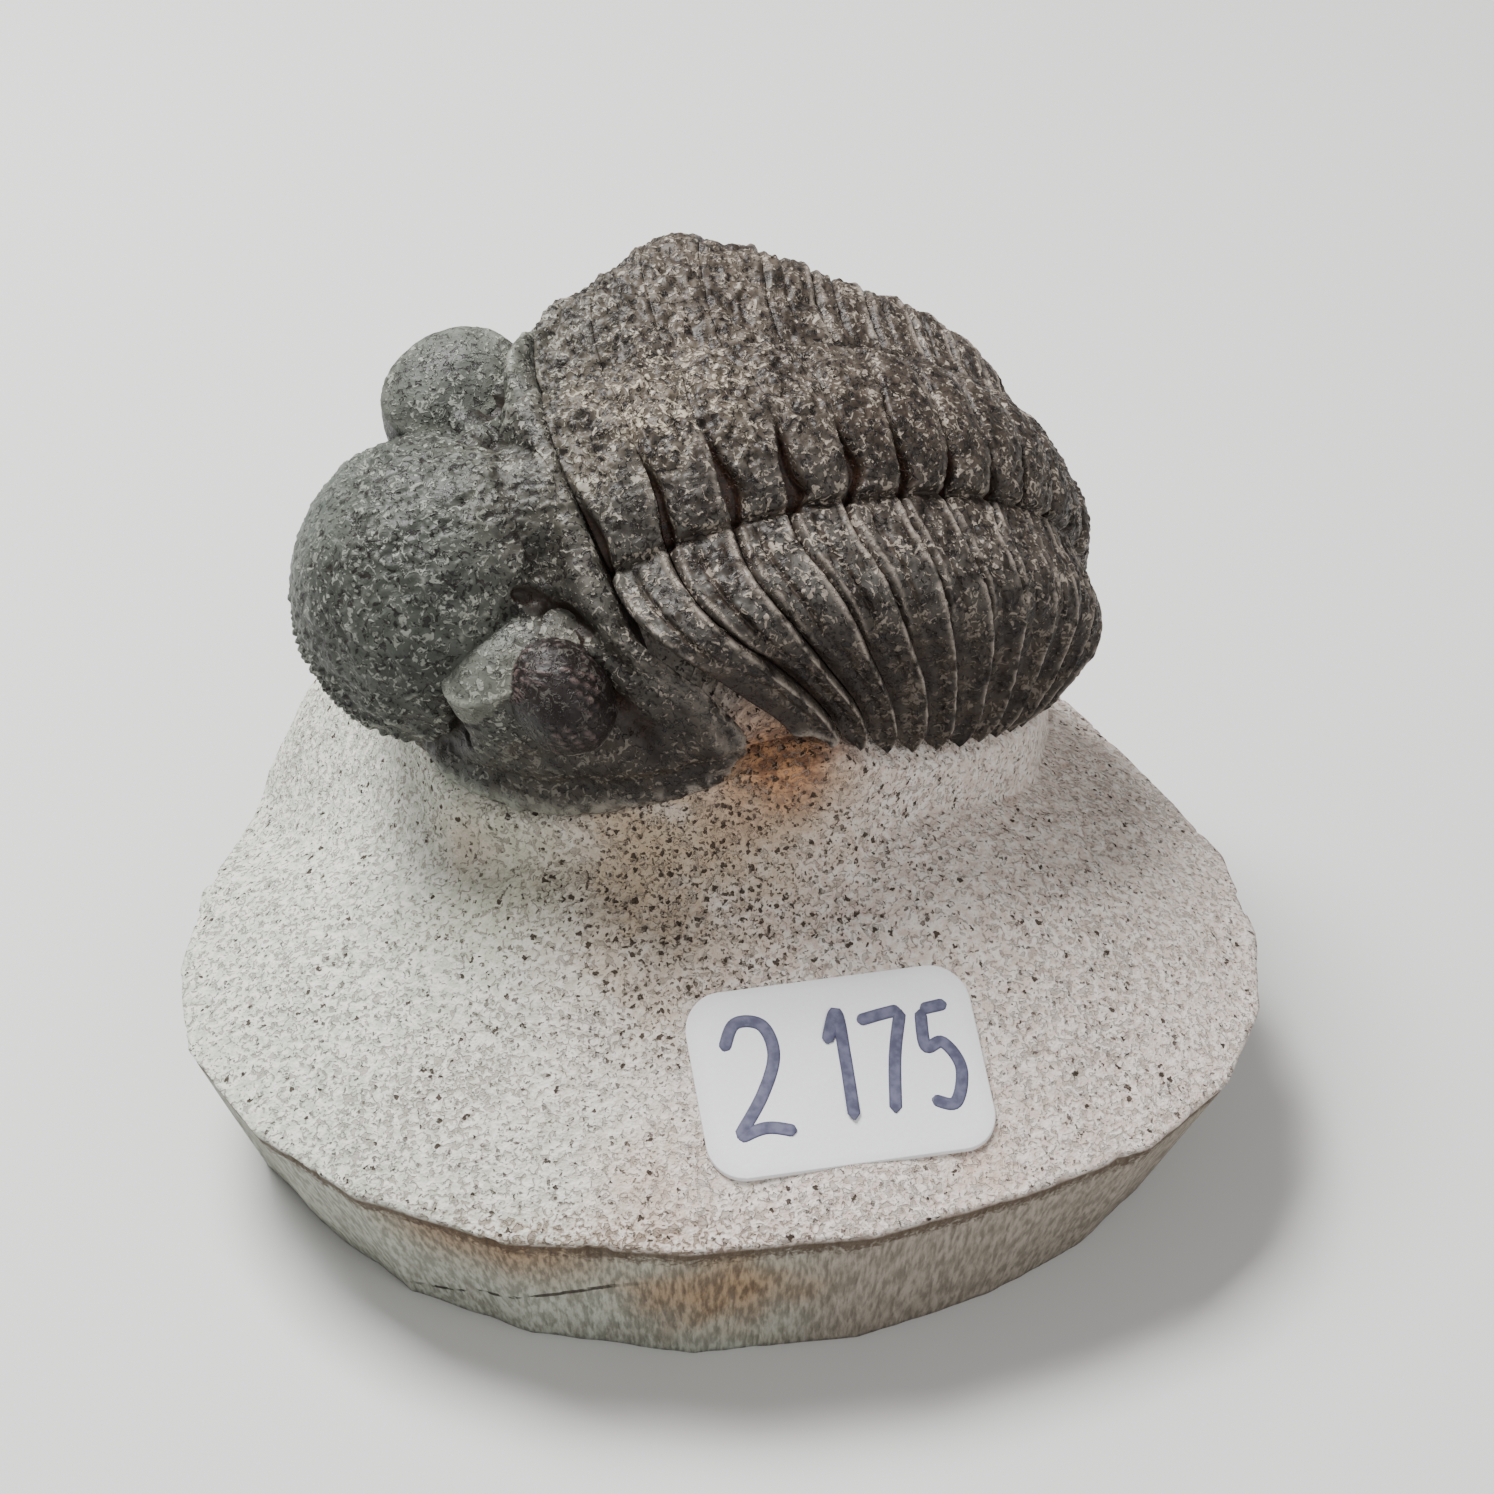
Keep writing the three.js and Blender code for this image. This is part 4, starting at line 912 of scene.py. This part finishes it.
def stone_shell():
    """The whole stone as a stack of loops round one middle: underside, sawn side, mound and wall of
    the pedestal, shelf, and the bed that closes under the animal."""
    angles = np.linspace(-np.pi, np.pi, STONE_COLUMNS, endpoint=False)
    rim = by_angle(angles, rim_line(), STONE_MIDDLE)
    bed = bed_outline(angles)
    edge = eased(bed_point(bed[:, 0], bed[:, 1]), 4)
    away = edge[:, :2] - STONE_MIDDLE
    away = away / np.linalg.norm(away, axis=1, keepdims=True)
    sunk = SHELF_DROP * (1 + 2 * np.abs(away[:, 0]))
    shelf = eased(edge + np.column_stack([away * SHELF_OUT, -sunk]), 5)

    outward = rim[:, :2] / np.hypot(rim[:, 0], rim[:, 1])[:, None]
    bottom = np.column_stack([rim[:, :2] - outward * rim[:, 2:], 0 * angles])
    top = np.column_stack([rim[:, :2], SLAB_HEIGHT + 0 * angles])
    underside = bottom * np.array((0.3, 0.6, 0.85, 0.97, 0.995))[:, None, None]
    side = lerp(bottom, top, np.linspace(0, 1, 26)[:, None, None])
    way = running_sum(np.linalg.norm(np.diff(rim[:, :2], axis=0), axis=1))
    scrape_place = stacked(way, side[..., 2] * 0.12, 0)
    scrape = 0.14 * rough(scrape_place, 2.2, 61)
    chips = -0.5 * ramp(rough(side, 1.4, 71), 0.15, 0.6) * ramp(side[..., 2], 10.8, 12)
    side[..., :2] += outward * (scrape + chips)[..., None]

    share = np.linspace(1, 0, 92)[:-1, None, None] ** 1.9
    plan = lerp(shelf[:, :2], rim[:, :2] - outward * 0.25, share)
    gap = np.linalg.norm(plan - shelf[:, :2], axis=-1)
    flared = gap / lerp(1, END_FLARE, ramp(away[:, 0], 0.2, 0.8))
    out, down = np.array(PEDESTAL_WALL).T
    drop = np.interp(flared, out, down) + np.maximum(flared - out[-1], 0) * 2
    mound = mound_height(plan[..., 0], plan[..., 1])
    ground = smooth_max(shelf[:, 2] - eased(drop.T, 6).T, mound, FOOT_FILLET)
    slope = np.concatenate([plan, ground[..., None]], axis=-1)
    grainy = 0.2 * rough(slope, 2.4, 81) + 0.16 * noise(slope, 0.7, 91)
    on_label = (plan - LABEL_CENTRE) @ turned("z", LABEL_TURN)[:2, :2]
    on_label = np.abs(on_label / (LABEL_LENGTH / 2, LABEL_WIDTH / 2)).max(axis=-1)
    bare = ramp(on_label, 1.0, 1.15)
    slope[..., 2] += grainy * ramp(gap, 0, 1) * bare - 0.12 * (1 - bare)

    ledge = lerp(shelf, edge, np.array((0.15, 0.4, 0.7, 1.0))[:, None, None])
    centre = np.array((0.45 * THORAX, 0))
    shrink = np.linspace(1, 0, 22)[1:-1, None, None] ** 0.8
    cover = centre + (bed - centre) * shrink
    cover = bed_point(cover[..., 0], cover[..., 1])

    loops = np.concatenate([underside, side, slope, ledge, cover])
    first = len(underside) + len(side)
    pedestal = np.ones(loops.shape[:2])
    pedestal[:first] = 0
    pedestal[first:first + len(slope)] -= ramp(ground - mound, 0.2, -0.6) * ramp(gap, 3, 8)
    sawn = np.arange(len(loops))[:, None] < first - 1
    return closed_skin(loops, sawn=sawn * 1.0, pedestal=pedestal)


# The label

def label_place(x, y, lift):
    """From the label's own plane to the slope that it lies on."""
    flat = stacked(x, y * np.cos(np.arctan(MOUND_SLOPE)))
    plan = flat @ turned("z", LABEL_TURN)[:2, :2].T + np.array(LABEL_CENTRE)
    height = mound_height(plan[..., 0], plan[..., 1])
    return np.concatenate([plan, (height + lift)[..., None]], axis=-1)


def label_shell():
    """Paper with rounded corners: the same rounded outline shrunk to nothing below and above."""
    steps = np.linspace(0, 90, 12)
    angle = np.radians(np.concatenate([steps + 90 * k for k in range(4)]))
    corner_x = np.repeat((1, -1, -1, 1), 12) * (LABEL_LENGTH / 2 - LABEL_CORNER)
    corner_y = np.repeat((1, 1, -1, -1), 12) * (LABEL_WIDTH / 2 - LABEL_CORNER)
    x = corner_x + LABEL_CORNER * np.cos(angle)
    y = corner_y + LABEL_CORNER * np.sin(angle)
    inwards = (0.9, 0.8, 0.7, 0.6, 0.5, 0.4, 0.3, 0.2, 0.1)
    share = np.array((0.1, 0.3, 0.5, 0.7, 0.9, 0.998, 1.0, 1.0, 0.998, 0.99) + inwards)[:, None]
    lift = np.array((0.02,) * 6 + (0.05, LABEL_THICKNESS - 0.03) + (LABEL_THICKNESS,) * 11)[:, None]
    return closed_skin(label_place(x * share, y * share, lift), edge=ramp(share, 0.93, 1))


# Figures in pen: strokes as points across a box of 1 by 1, with the box's place and size
FIGURE_TWO = (((0.02, 0.78), (0.3, 1.0), (0.75, 0.95), (0.86, 0.68), (0.55, 0.36), (0.0, 0.02)),
              ((0.0, 0.02), (0.5, 0.07), (1.0, 0.0)))
FIGURE_ONE = (((0.1, 0.72), (0.5, 1.0), (0.5, 0.55), (0.42, 0.0)),)
FIGURE_SEVEN = (((0.0, 0.93), (0.5, 0.97), (0.98, 1.0)), ((0.98, 1.0), (0.66, 0.55), (0.42, 0.0)))
FIGURE_FIVE = (((0.9, 1.0), (0.25, 0.96)),
               ((0.25, 0.96), (0.2, 0.6), (0.62, 0.62), (0.92, 0.36), (0.62, 0.03), (0.08, 0.08)))
WRITING = (
    (FIGURE_TWO, (-7.0, -3.6), (3.6, 7.4)),
    (FIGURE_ONE, (-0.8, -3.5), (2.4, 7.0)),
    (FIGURE_SEVEN, (1.6, -3.3), (2.9, 6.6)),
    (FIGURE_FIVE, (5.0, -3.2), (2.7, 6.6)),
)
PEN_WIDTH = 0.4


def curve_through(points, steps):
    """Catmull-Rom curve through points: each span is a cubic with its neighbours' slopes."""
    points = np.array(points, dtype=float)
    ends = np.concatenate([[2 * points[0] - points[1]], points, [2 * points[-1] - points[-2]]])
    t = np.linspace(0, 1, steps, endpoint=False)[None, :, None]
    a, b, c, d = (ends[k:len(ends) - 3 + k][:, None] for k in range(4))
    square = 2 * a - 5 * b + 4 * c - d
    cube = 3 * b - a - 3 * c + d
    spans = 0.5 * (2 * b + (c - a) * t + square * t ** 2 + cube * t ** 3)
    return np.concatenate([spans.reshape(-1, 2), points[-1:]])


def stroke_shell(points, place, size):
    """One pen stroke: a flat oval carried along its curve, with rounded ends."""
    path = curve_through(points, 10) * np.array(size) + np.array(place)
    along = np.gradient(path, axis=0)
    along = along / np.linalg.norm(along, axis=1, keepdims=True)
    across = stacked(-along[:, 1], along[:, 0])
    reach = running_sum(np.linalg.norm(np.diff(path, axis=0), axis=1))
    from_end = np.minimum(reach, reach[-1] - reach)
    end = 1 - np.minimum(from_end / PEN_WIDTH, 1)
    width = PEN_WIDTH * np.sqrt(np.clip(1 - end ** 2, 0.04, 1))
    turn = np.linspace(0, 2 * np.pi, 12, endpoint=False)[None, :]
    plan = path[:, None] + across[:, None] * (width[:, None] * np.cos(turn))[..., None]
    lift = LABEL_THICKNESS + 0.01 + 0.02 * np.sin(turn)
    return closed_skin(
        label_place(plan[..., 0], plan[..., 1], lift), edge=np.abs(np.cos(turn)))


# Finishes

def carapace_finish():
    """Dark shell, greenish grey on the head, partly as painted sheen, and brown-black behind,
    closely mottled with pale worm-like flecks and black pits that also stand proud or sunk. Tan
    crust on the back, rust in the slits, rubbed pale edges, and dark lenses. Painted light and
    shade: darker slats and lower cheeks, dark grooves and furrows on the head, pale tops of its
    grains, a lighter front of the glabella and near inner pleurae, pale eye lobes and rims, and
    lighter tops of the lenses."""
    finish = Finish("carapace", specular=0.3)
    mix, near = finish.mix, finish.near
    relief, lens, worn, crusted, distal = map(
        finish.attribute, ("relief", "lens", "worn", "crust", "distal"))
    lumps = finish.noise(4 * MM, 4)
    patches = finish.noise(1.5 * MM)
    flecks = finish.noise(0.5 * MM, distortion=1.3)
    specks = finish.noise(0.4 * MM, 2, distortion=0.8)
    patchy = patches.ramp(0.35, 0.65)
    drift = patches - 0.5
    forward = finish.axis("X").ramp(0, -18 * MM)
    near_side = finish.axis("Y").ramp(4 * MM, -8 * MM)
    cream = crusted * near((-3.5, 2, 48.5), 9)
    # Painted sheen: the front of the glabella is painted lighter greenish grey where light from the
    # left falls on it, with fewer flecks and specks there.
    painted_sheen = near((-26, 2, 41), 9, ragged=0.15)
    stained = near((10, -0.5, 46.5), 10)
    pink = near((-8, 0.5, 45.5), 4.5) * flecks.ramp(0.5, 0.58)

    grey = mix(patchy, (0.026, 0.018, 0.013), (0.067, 0.051, 0.040))
    # The head's greenish grey is partly its own tone and partly painted sheen on surfaces that face
    # the light.
    green_and_sheen = mix(lumps.ramp(0.3, 0.7), (0.031, 0.034, 0.028), (0.082, 0.090, 0.075))
    # Painted shade: dark brown laid over the slats and the lower cheeks, darker than the shell
    # where shade falls on them.
    brown = mix(patchy, (0.010, 0.006, 0.004), (0.032, 0.021, 0.014))
    tan = mix(patches.ramp(0.3, 0.7), (0.055, 0.043, 0.032), (0.15, 0.12, 0.088))
    pale = mix(cream, mix(forward, (0.36, 0.305, 0.25), (0.32, 0.33, 0.285)), (0.55, 0.47, 0.35))
    pale_edges = mix(forward, (0.34, 0.29, 0.245), (0.28, 0.30, 0.25))
    rust = mix(specks.ramp(0.35, 0.65), (0.009, 0.0045, 0.003), (0.046, 0.019, 0.010))
    # On the head this joint colour turns dark brown-black: painted shade in the head's furrows.
    rust = mix(forward, rust, (0.016, 0.012, 0.008))
    # Dark brown lenses, painted lighter on their tops as painted glints.
    lens_brown_and_glint = mix(relief.ramp(0, 0.28), (0.009, 0.005, 0.004), (0.085, 0.058, 0.052))

    # Painted sheen: the raised inner pleurae on the near side, which face up, are painted lighter
    # grey.
    pleural_sheen = relief.ramp(-0.05, 0.15) * (1 - distal) * (1 - forward) * near_side
    # Painted shade: the low parts between the grains on the head are painted dark.
    groove_shade = relief.ramp(0.1, -0.12) * forward
    fleck_and_highlight = (flecks + drift * 0.35 + cream * 0.04).ramp(0.55, 0.62)
    fleck_and_highlight = fleck_and_highlight * (1 - distal * 0.7) * (1 - painted_sheen * 0.6) * relief.ramp(-0.5, -0.1)
    fleck_and_highlight = fleck_and_highlight * (1 - forward * 0.25)
    # Painted highlights: the tops of the grains on the head are painted pale as well.
    fleck_and_highlight = fleck_and_highlight.math("MAXIMUM", relief.ramp(0.45, 0.8) * forward * 0.65)
    speck = (specks - drift * 0.25 + crusted * 0.015).ramp(0.57, 0.62)
    # Pale edges: rubbed pale on the plates and the head, and a painted highlight on the eye lobes
    # and their rims.
    edge = finish.noise(1.1 * MM).ramp(0.38, 0.56)
    edge = worn * (edge * (1 - forward * 0.6) + forward * 0.6)
    # Rust-brown in the open joints between plates; on the head the same mask lays painted shade in
    # the furrows.
    slit_rust_and_furrow_shade = relief.ramp(-0.25, -0.6) * 0.9 * (1 - distal * 0.7)
    colour = finish.painted(
        mix(forward * 0.95, grey, green_and_sheen),
        (stained * patches.ramp(0.4, 0.6) * 0.5, (0.032, 0.015, 0.009)),
        (painted_sheen * 0.55, (0.135, 0.155, 0.136)),
        (pleural_sheen * patches.ramp(0.35, 0.6) * 0.5, (0.085, 0.088, 0.083)),
        (distal * 0.92, brown),
        ((crusted * 0.35 + cream * 0.55) * lumps.ramp(0.25, 0.5), tan),
        (groove_shade * 0.85, (0.015, 0.012, 0.009)),
        (fleck_and_highlight * 0.8, pale),
        (speck * (1 - painted_sheen * 0.6) * 0.9, (0.010, 0.007, 0.006)),
        (edge * 0.75, pale_edges),
        (slit_rust_and_furrow_shade, rust),
        (pink * 0.35, (0.34, 0.26, 0.225)),
        (lens * (1 - fleck_and_highlight * 0.2), lens_brown_and_glint))
    normal = finish.bump(fleck_and_highlight * 0.8 + flecks * 0.5 - speck * 0.8, 0.12)
    return finish.surface(
        Base_Color=colour, Roughness=0.34 + patches * 0.3 - worn * 0.1, Normal=normal)


def stone_finish():
    """Pale limestone: greenish to the left and pinkish to the right, grained all over with whitish
    grains and grey-brown marks, dark pits that crowd on the pedestal, tan and rust under the
    animal, the tan partly painted shadow, and a darker sawn side, partly painted shade, with
    upright scrapes, brown stains and a crack."""
    finish = Finish("limestone", specular=0.3)
    mix, near = finish.mix, finish.near
    sawn, pedestal = map(finish.attribute, ("sawn", "pedestal"))
    east, north, height = map(finish.axis, "XYZ")
    drift = finish.noise(14 * MM)
    grainy = finish.noise(0.6 * MM)
    fine = finish.noise(0.22 * MM, 2)
    marks = finish.noise(0.42 * MM, distortion=1.0)
    right = (east + (drift - 0.5) * 20 * MM).ramp(-24 * MM, 6 * MM)
    # Tan under the head: partly the stone's own tint, partly painted shadow where the animal hangs
    # over the pedestal.
    tan = near((-3, -13, 26), 14).math("MAXIMUM", near((3, -10, 29), 10))
    rust = mix(grainy.ramp(0.4, 0.6), (0.16, 0.055, 0.020), (0.45, 0.205, 0.085))
    blushes = (near((15.6, -27, 13), 5), near((-4.4, -29.5, 13.6), 6), near((-16, -8, 23), 4))
    rim = near((-6, -31, 12.5), 20, ragged=0.15) * height.ramp(13.4 * MM, 12.3 * MM)
    rim = rim * marks.ramp(0.42, 0.56)
    greyed = (marks + (drift - 0.5) * 0.2 + right * 0.02).ramp(0.55, 0.62)
    wavy = finish.wavy(0.3 * MM, 0.28 * MM)
    distance, chance = finish.cells(0.56 * MM, wavy)
    small_distance, small_chance = finish.cells(0.34 * MM, wavy)
    crowd = pedestal * near((-1, -13, 25), 17, ragged=0.2)
    pits = (chance - crowd * 0.42).ramp(0.08, 0.05) * distance.ramp(0.36, 0.24)
    small = (small_chance - crowd * 0.44).ramp(0.14, 0.1) * small_distance.ramp(0.4, 0.26)
    holes = pits.math("MAXIMUM", small * 0.8) * (1 - sawn)
    natural = finish.painted(
        mix(right, (0.50, 0.53, 0.445), (0.61, 0.50, 0.44)),
        (grainy.ramp(0.38, 0.62) * 0.65, (0.80, 0.755, 0.70)),
        (near((-15, -12, 24), 10) * 0.4, (0.47, 0.48, 0.33)),
        (tan * finish.noise(3 * MM).ramp(0.15, 0.5) * 0.8, (0.40, 0.285, 0.175)),
        (near((3.5, -9, 30.5), 8) * 0.85, rust),
        *((blush * 0.35, (0.50, 0.31, 0.22)) for blush in blushes),
        (rim * 0.7, (0.22, 0.135, 0.075)),
        (greyed * (1 - sawn) * (0.6 - right * 0.12), (0.235, 0.195, 0.165)),
        (holes * 0.95, (0.045, 0.030, 0.020)))

    scrape = finish.noise(0.32 * MM, place=finish.stretched((1, 1, 0.035)))
    coarse = finish.noise(2.2 * MM, place=finish.stretched((1, 1, 0.16)))
    blotch = finish.noise(1.3 * MM, 4, place=finish.stretched((1, 1, 0.4)))
    scraped = scrape.ramp(0.35, 0.65)
    grey = mix(scrape.ramp(0.3, 0.7), (0.145, 0.118, 0.092), (0.31, 0.26, 0.21))
    brown = mix(scraped, (0.105, 0.055, 0.024), (0.31, 0.19, 0.095))
    band = near((-13, -30, 12), 13, ragged=0.15) * height.ramp(4 * MM, 10 * MM)
    stain = band.math("MAXIMUM", near((-1, -32, 7), 9)) * coarse.ramp(0.15, 0.4)
    ragged = (height + (marks - 0.5) * 3 * MM).ramp(10.2 * MM, 11.2 * MM)
    above = height - east * CRACK_RISE + (coarse - 0.5) * 0.6 * MM - CRACK_HEIGHT * MM
    crack = abs(above).ramp(0.24 * MM, 0.08 * MM)
    crack = crack * east.ramp(-21 * MM, -18 * MM) * east.ramp(-4 * MM, -8 * MM)
    crack = crack * finish.noise(1.6 * MM).ramp(0.4, 0.5) * (1 - north.ramp(-5 * MM, 0))
    # The sawn side is painted darker than the top: partly the cut stone's own tone, partly painted
    # shade on this upright face.
    cut = finish.painted(
        mix(scraped, (0.23, 0.235, 0.195), (0.42, 0.43, 0.37)),
        (east.ramp(0, 8 * MM) * 0.85, grey),
        (stain * 0.9, brown),
        (ragged * 0.85, (0.060, 0.036, 0.021)),
        (crack * 0.9, (0.022, 0.014, 0.009)),
        (blotch.ramp(0.5, 0.68) * 0.3, (0.16, 0.13, 0.10)))
    texture = grainy * 0.8 + fine * 0.4 - greyed * 0.4 - holes * 1.1
    combed = scrape * 1.1 + fine * 0.25 - crack
    return finish.surface(
        Base_Color=mix(sawn, natural, cut), Roughness=0.86 + grainy * 0.1,
        Normal=finish.bump(texture * (1 - sawn) + combed * sawn, 0.3))


def paper_finish():
    finish = Finish("label_paper", specular=0.4)
    fibre = finish.noise(0.25 * MM)
    colour = finish.mix(fibre, (0.80, 0.81, 0.83), (0.88, 0.89, 0.90))
    colour = finish.mix(finish.attribute("edge") * 0.35, colour, (0.62, 0.62, 0.62))
    return finish.surface(
        Base_Color=colour, Roughness=0.45 + fibre * 0.15, Normal=finish.bump(fibre, 0.02))


def ink_finish():
    finish = Finish("pen_ink", specular=0.4)
    blot = finish.noise(0.6 * MM)
    colour = finish.mix(blot.ramp(0.3, 0.7), (0.065, 0.065, 0.11), (0.13, 0.13, 0.20))
    colour = finish.mix(finish.attribute("edge").ramp(0.6, 1.0), colour, (0.05, 0.05, 0.10))
    return finish.surface(Base_Color=colour, Roughness=0.4 + blot * 0.2)


def floor_finish():
    finish = Finish("pale_floor")
    cloud = finish.noise(60 * MM)
    colour = finish.mix(cloud, (0.62, 0.62, 0.61), (0.66, 0.66, 0.65))
    return finish.surface(Base_Color=colour, Roughness=0.8 + cloud * 0.05)


# The scene

def build_fossil():
    shell = carapace_finish()
    make_piece("stone", stone_shell(), stone_finish(), ["matrix"])
    head = joined([head_shell(), eye_shell(-1), eye_shell(1)])
    make_piece("head_shield", head, shell, ["cephalon"])
    for index in range(SEGMENTS):
        number = f"{index + 1:02d}"
        make_piece(
            f"thoracic_plate_{number}", segment_shell(index), shell,
            [f"thoracic_segment_{number}"])
    make_piece("tail_shield", tail_shell(), shell, ["pygidium"])
    make_piece("paper_label", label_shell(), paper_finish(), ["label"])
    strokes = [
        stroke_shell(points, place, size) for figure, place, size in WRITING for points in figure]
    make_piece("pen_figures", joined(strokes), ink_finish(), [])


def build_floor():
    """A wide pale floor that bends up behind the object."""
    across = np.linspace(-0.9, 0.9, 5)
    back = np.linspace(0, 1, 40)
    y = -0.9 + 2.2 * back
    z = 0.9 * ramp(y, 0.5, 1.6) - 0.00005
    grid = stacked(across[None, :], y[:, None], z[:, None])
    index = np.arange(grid.shape[0] * grid.shape[1]).reshape(grid.shape[:2])
    quads = stacked(index[:-1, :-1], index[:-1, 1:], index[1:, 1:], index[1:, :-1]).reshape(-1, 4)
    floor = new_object("floor", grid.reshape(-1, 3), quads.tolist(), floor_finish())


def add_lamp(name, place, target, size, power):
    """A soft square lamp that faces a target."""
    lamp = bpy.data.lights.new(name, "AREA")
    lamp.size = size
    lamp.energy = power
    holder = bpy.data.objects.new(name, lamp)
    direction = np.array(place) - np.array(target)
    flat = np.hypot(direction[0], direction[1])
    holder.location = place
    holder.rotation_euler = (
        np.arctan2(flat, direction[2]), 0, np.arctan2(direction[1], direction[0]) + np.pi / 2)
    bpy.context.scene.collection.objects.link(holder)


def build_light():
    world = bpy.data.worlds.new("studio")
    bpy.context.scene.world = world
    world.use_nodes = True
    background = world.node_tree.nodes["Background"]
    background.inputs["Color"].default_value = (1.0, 0.99, 0.97, 1)
    background.inputs["Strength"].default_value = 0.34
    target = (0, 0, 0.03)
    add_lamp("key", (-0.16, 0.14, 0.42), target, 0.2, 5.2)
    add_lamp("front_fill", (0.22, -0.34, 0.3), target, 0.35, 1.0)


def build_camera():
    camera = bpy.data.cameras.new("camera")
    camera.lens = CAMERA_LENS
    camera.sensor_width = 36
    camera.clip_start = 0.01
    holder = bpy.data.objects.new("camera", camera)
    holder.location = CAMERA_PLACE
    holder.rotation_euler = (np.radians(90 - CAMERA_DOWN), 0, np.radians(-CAMERA_TURN))
    bpy.context.scene.collection.objects.link(holder)
    bpy.context.scene.camera = holder


build_camera()
build_fossil()
build_floor()
build_light()
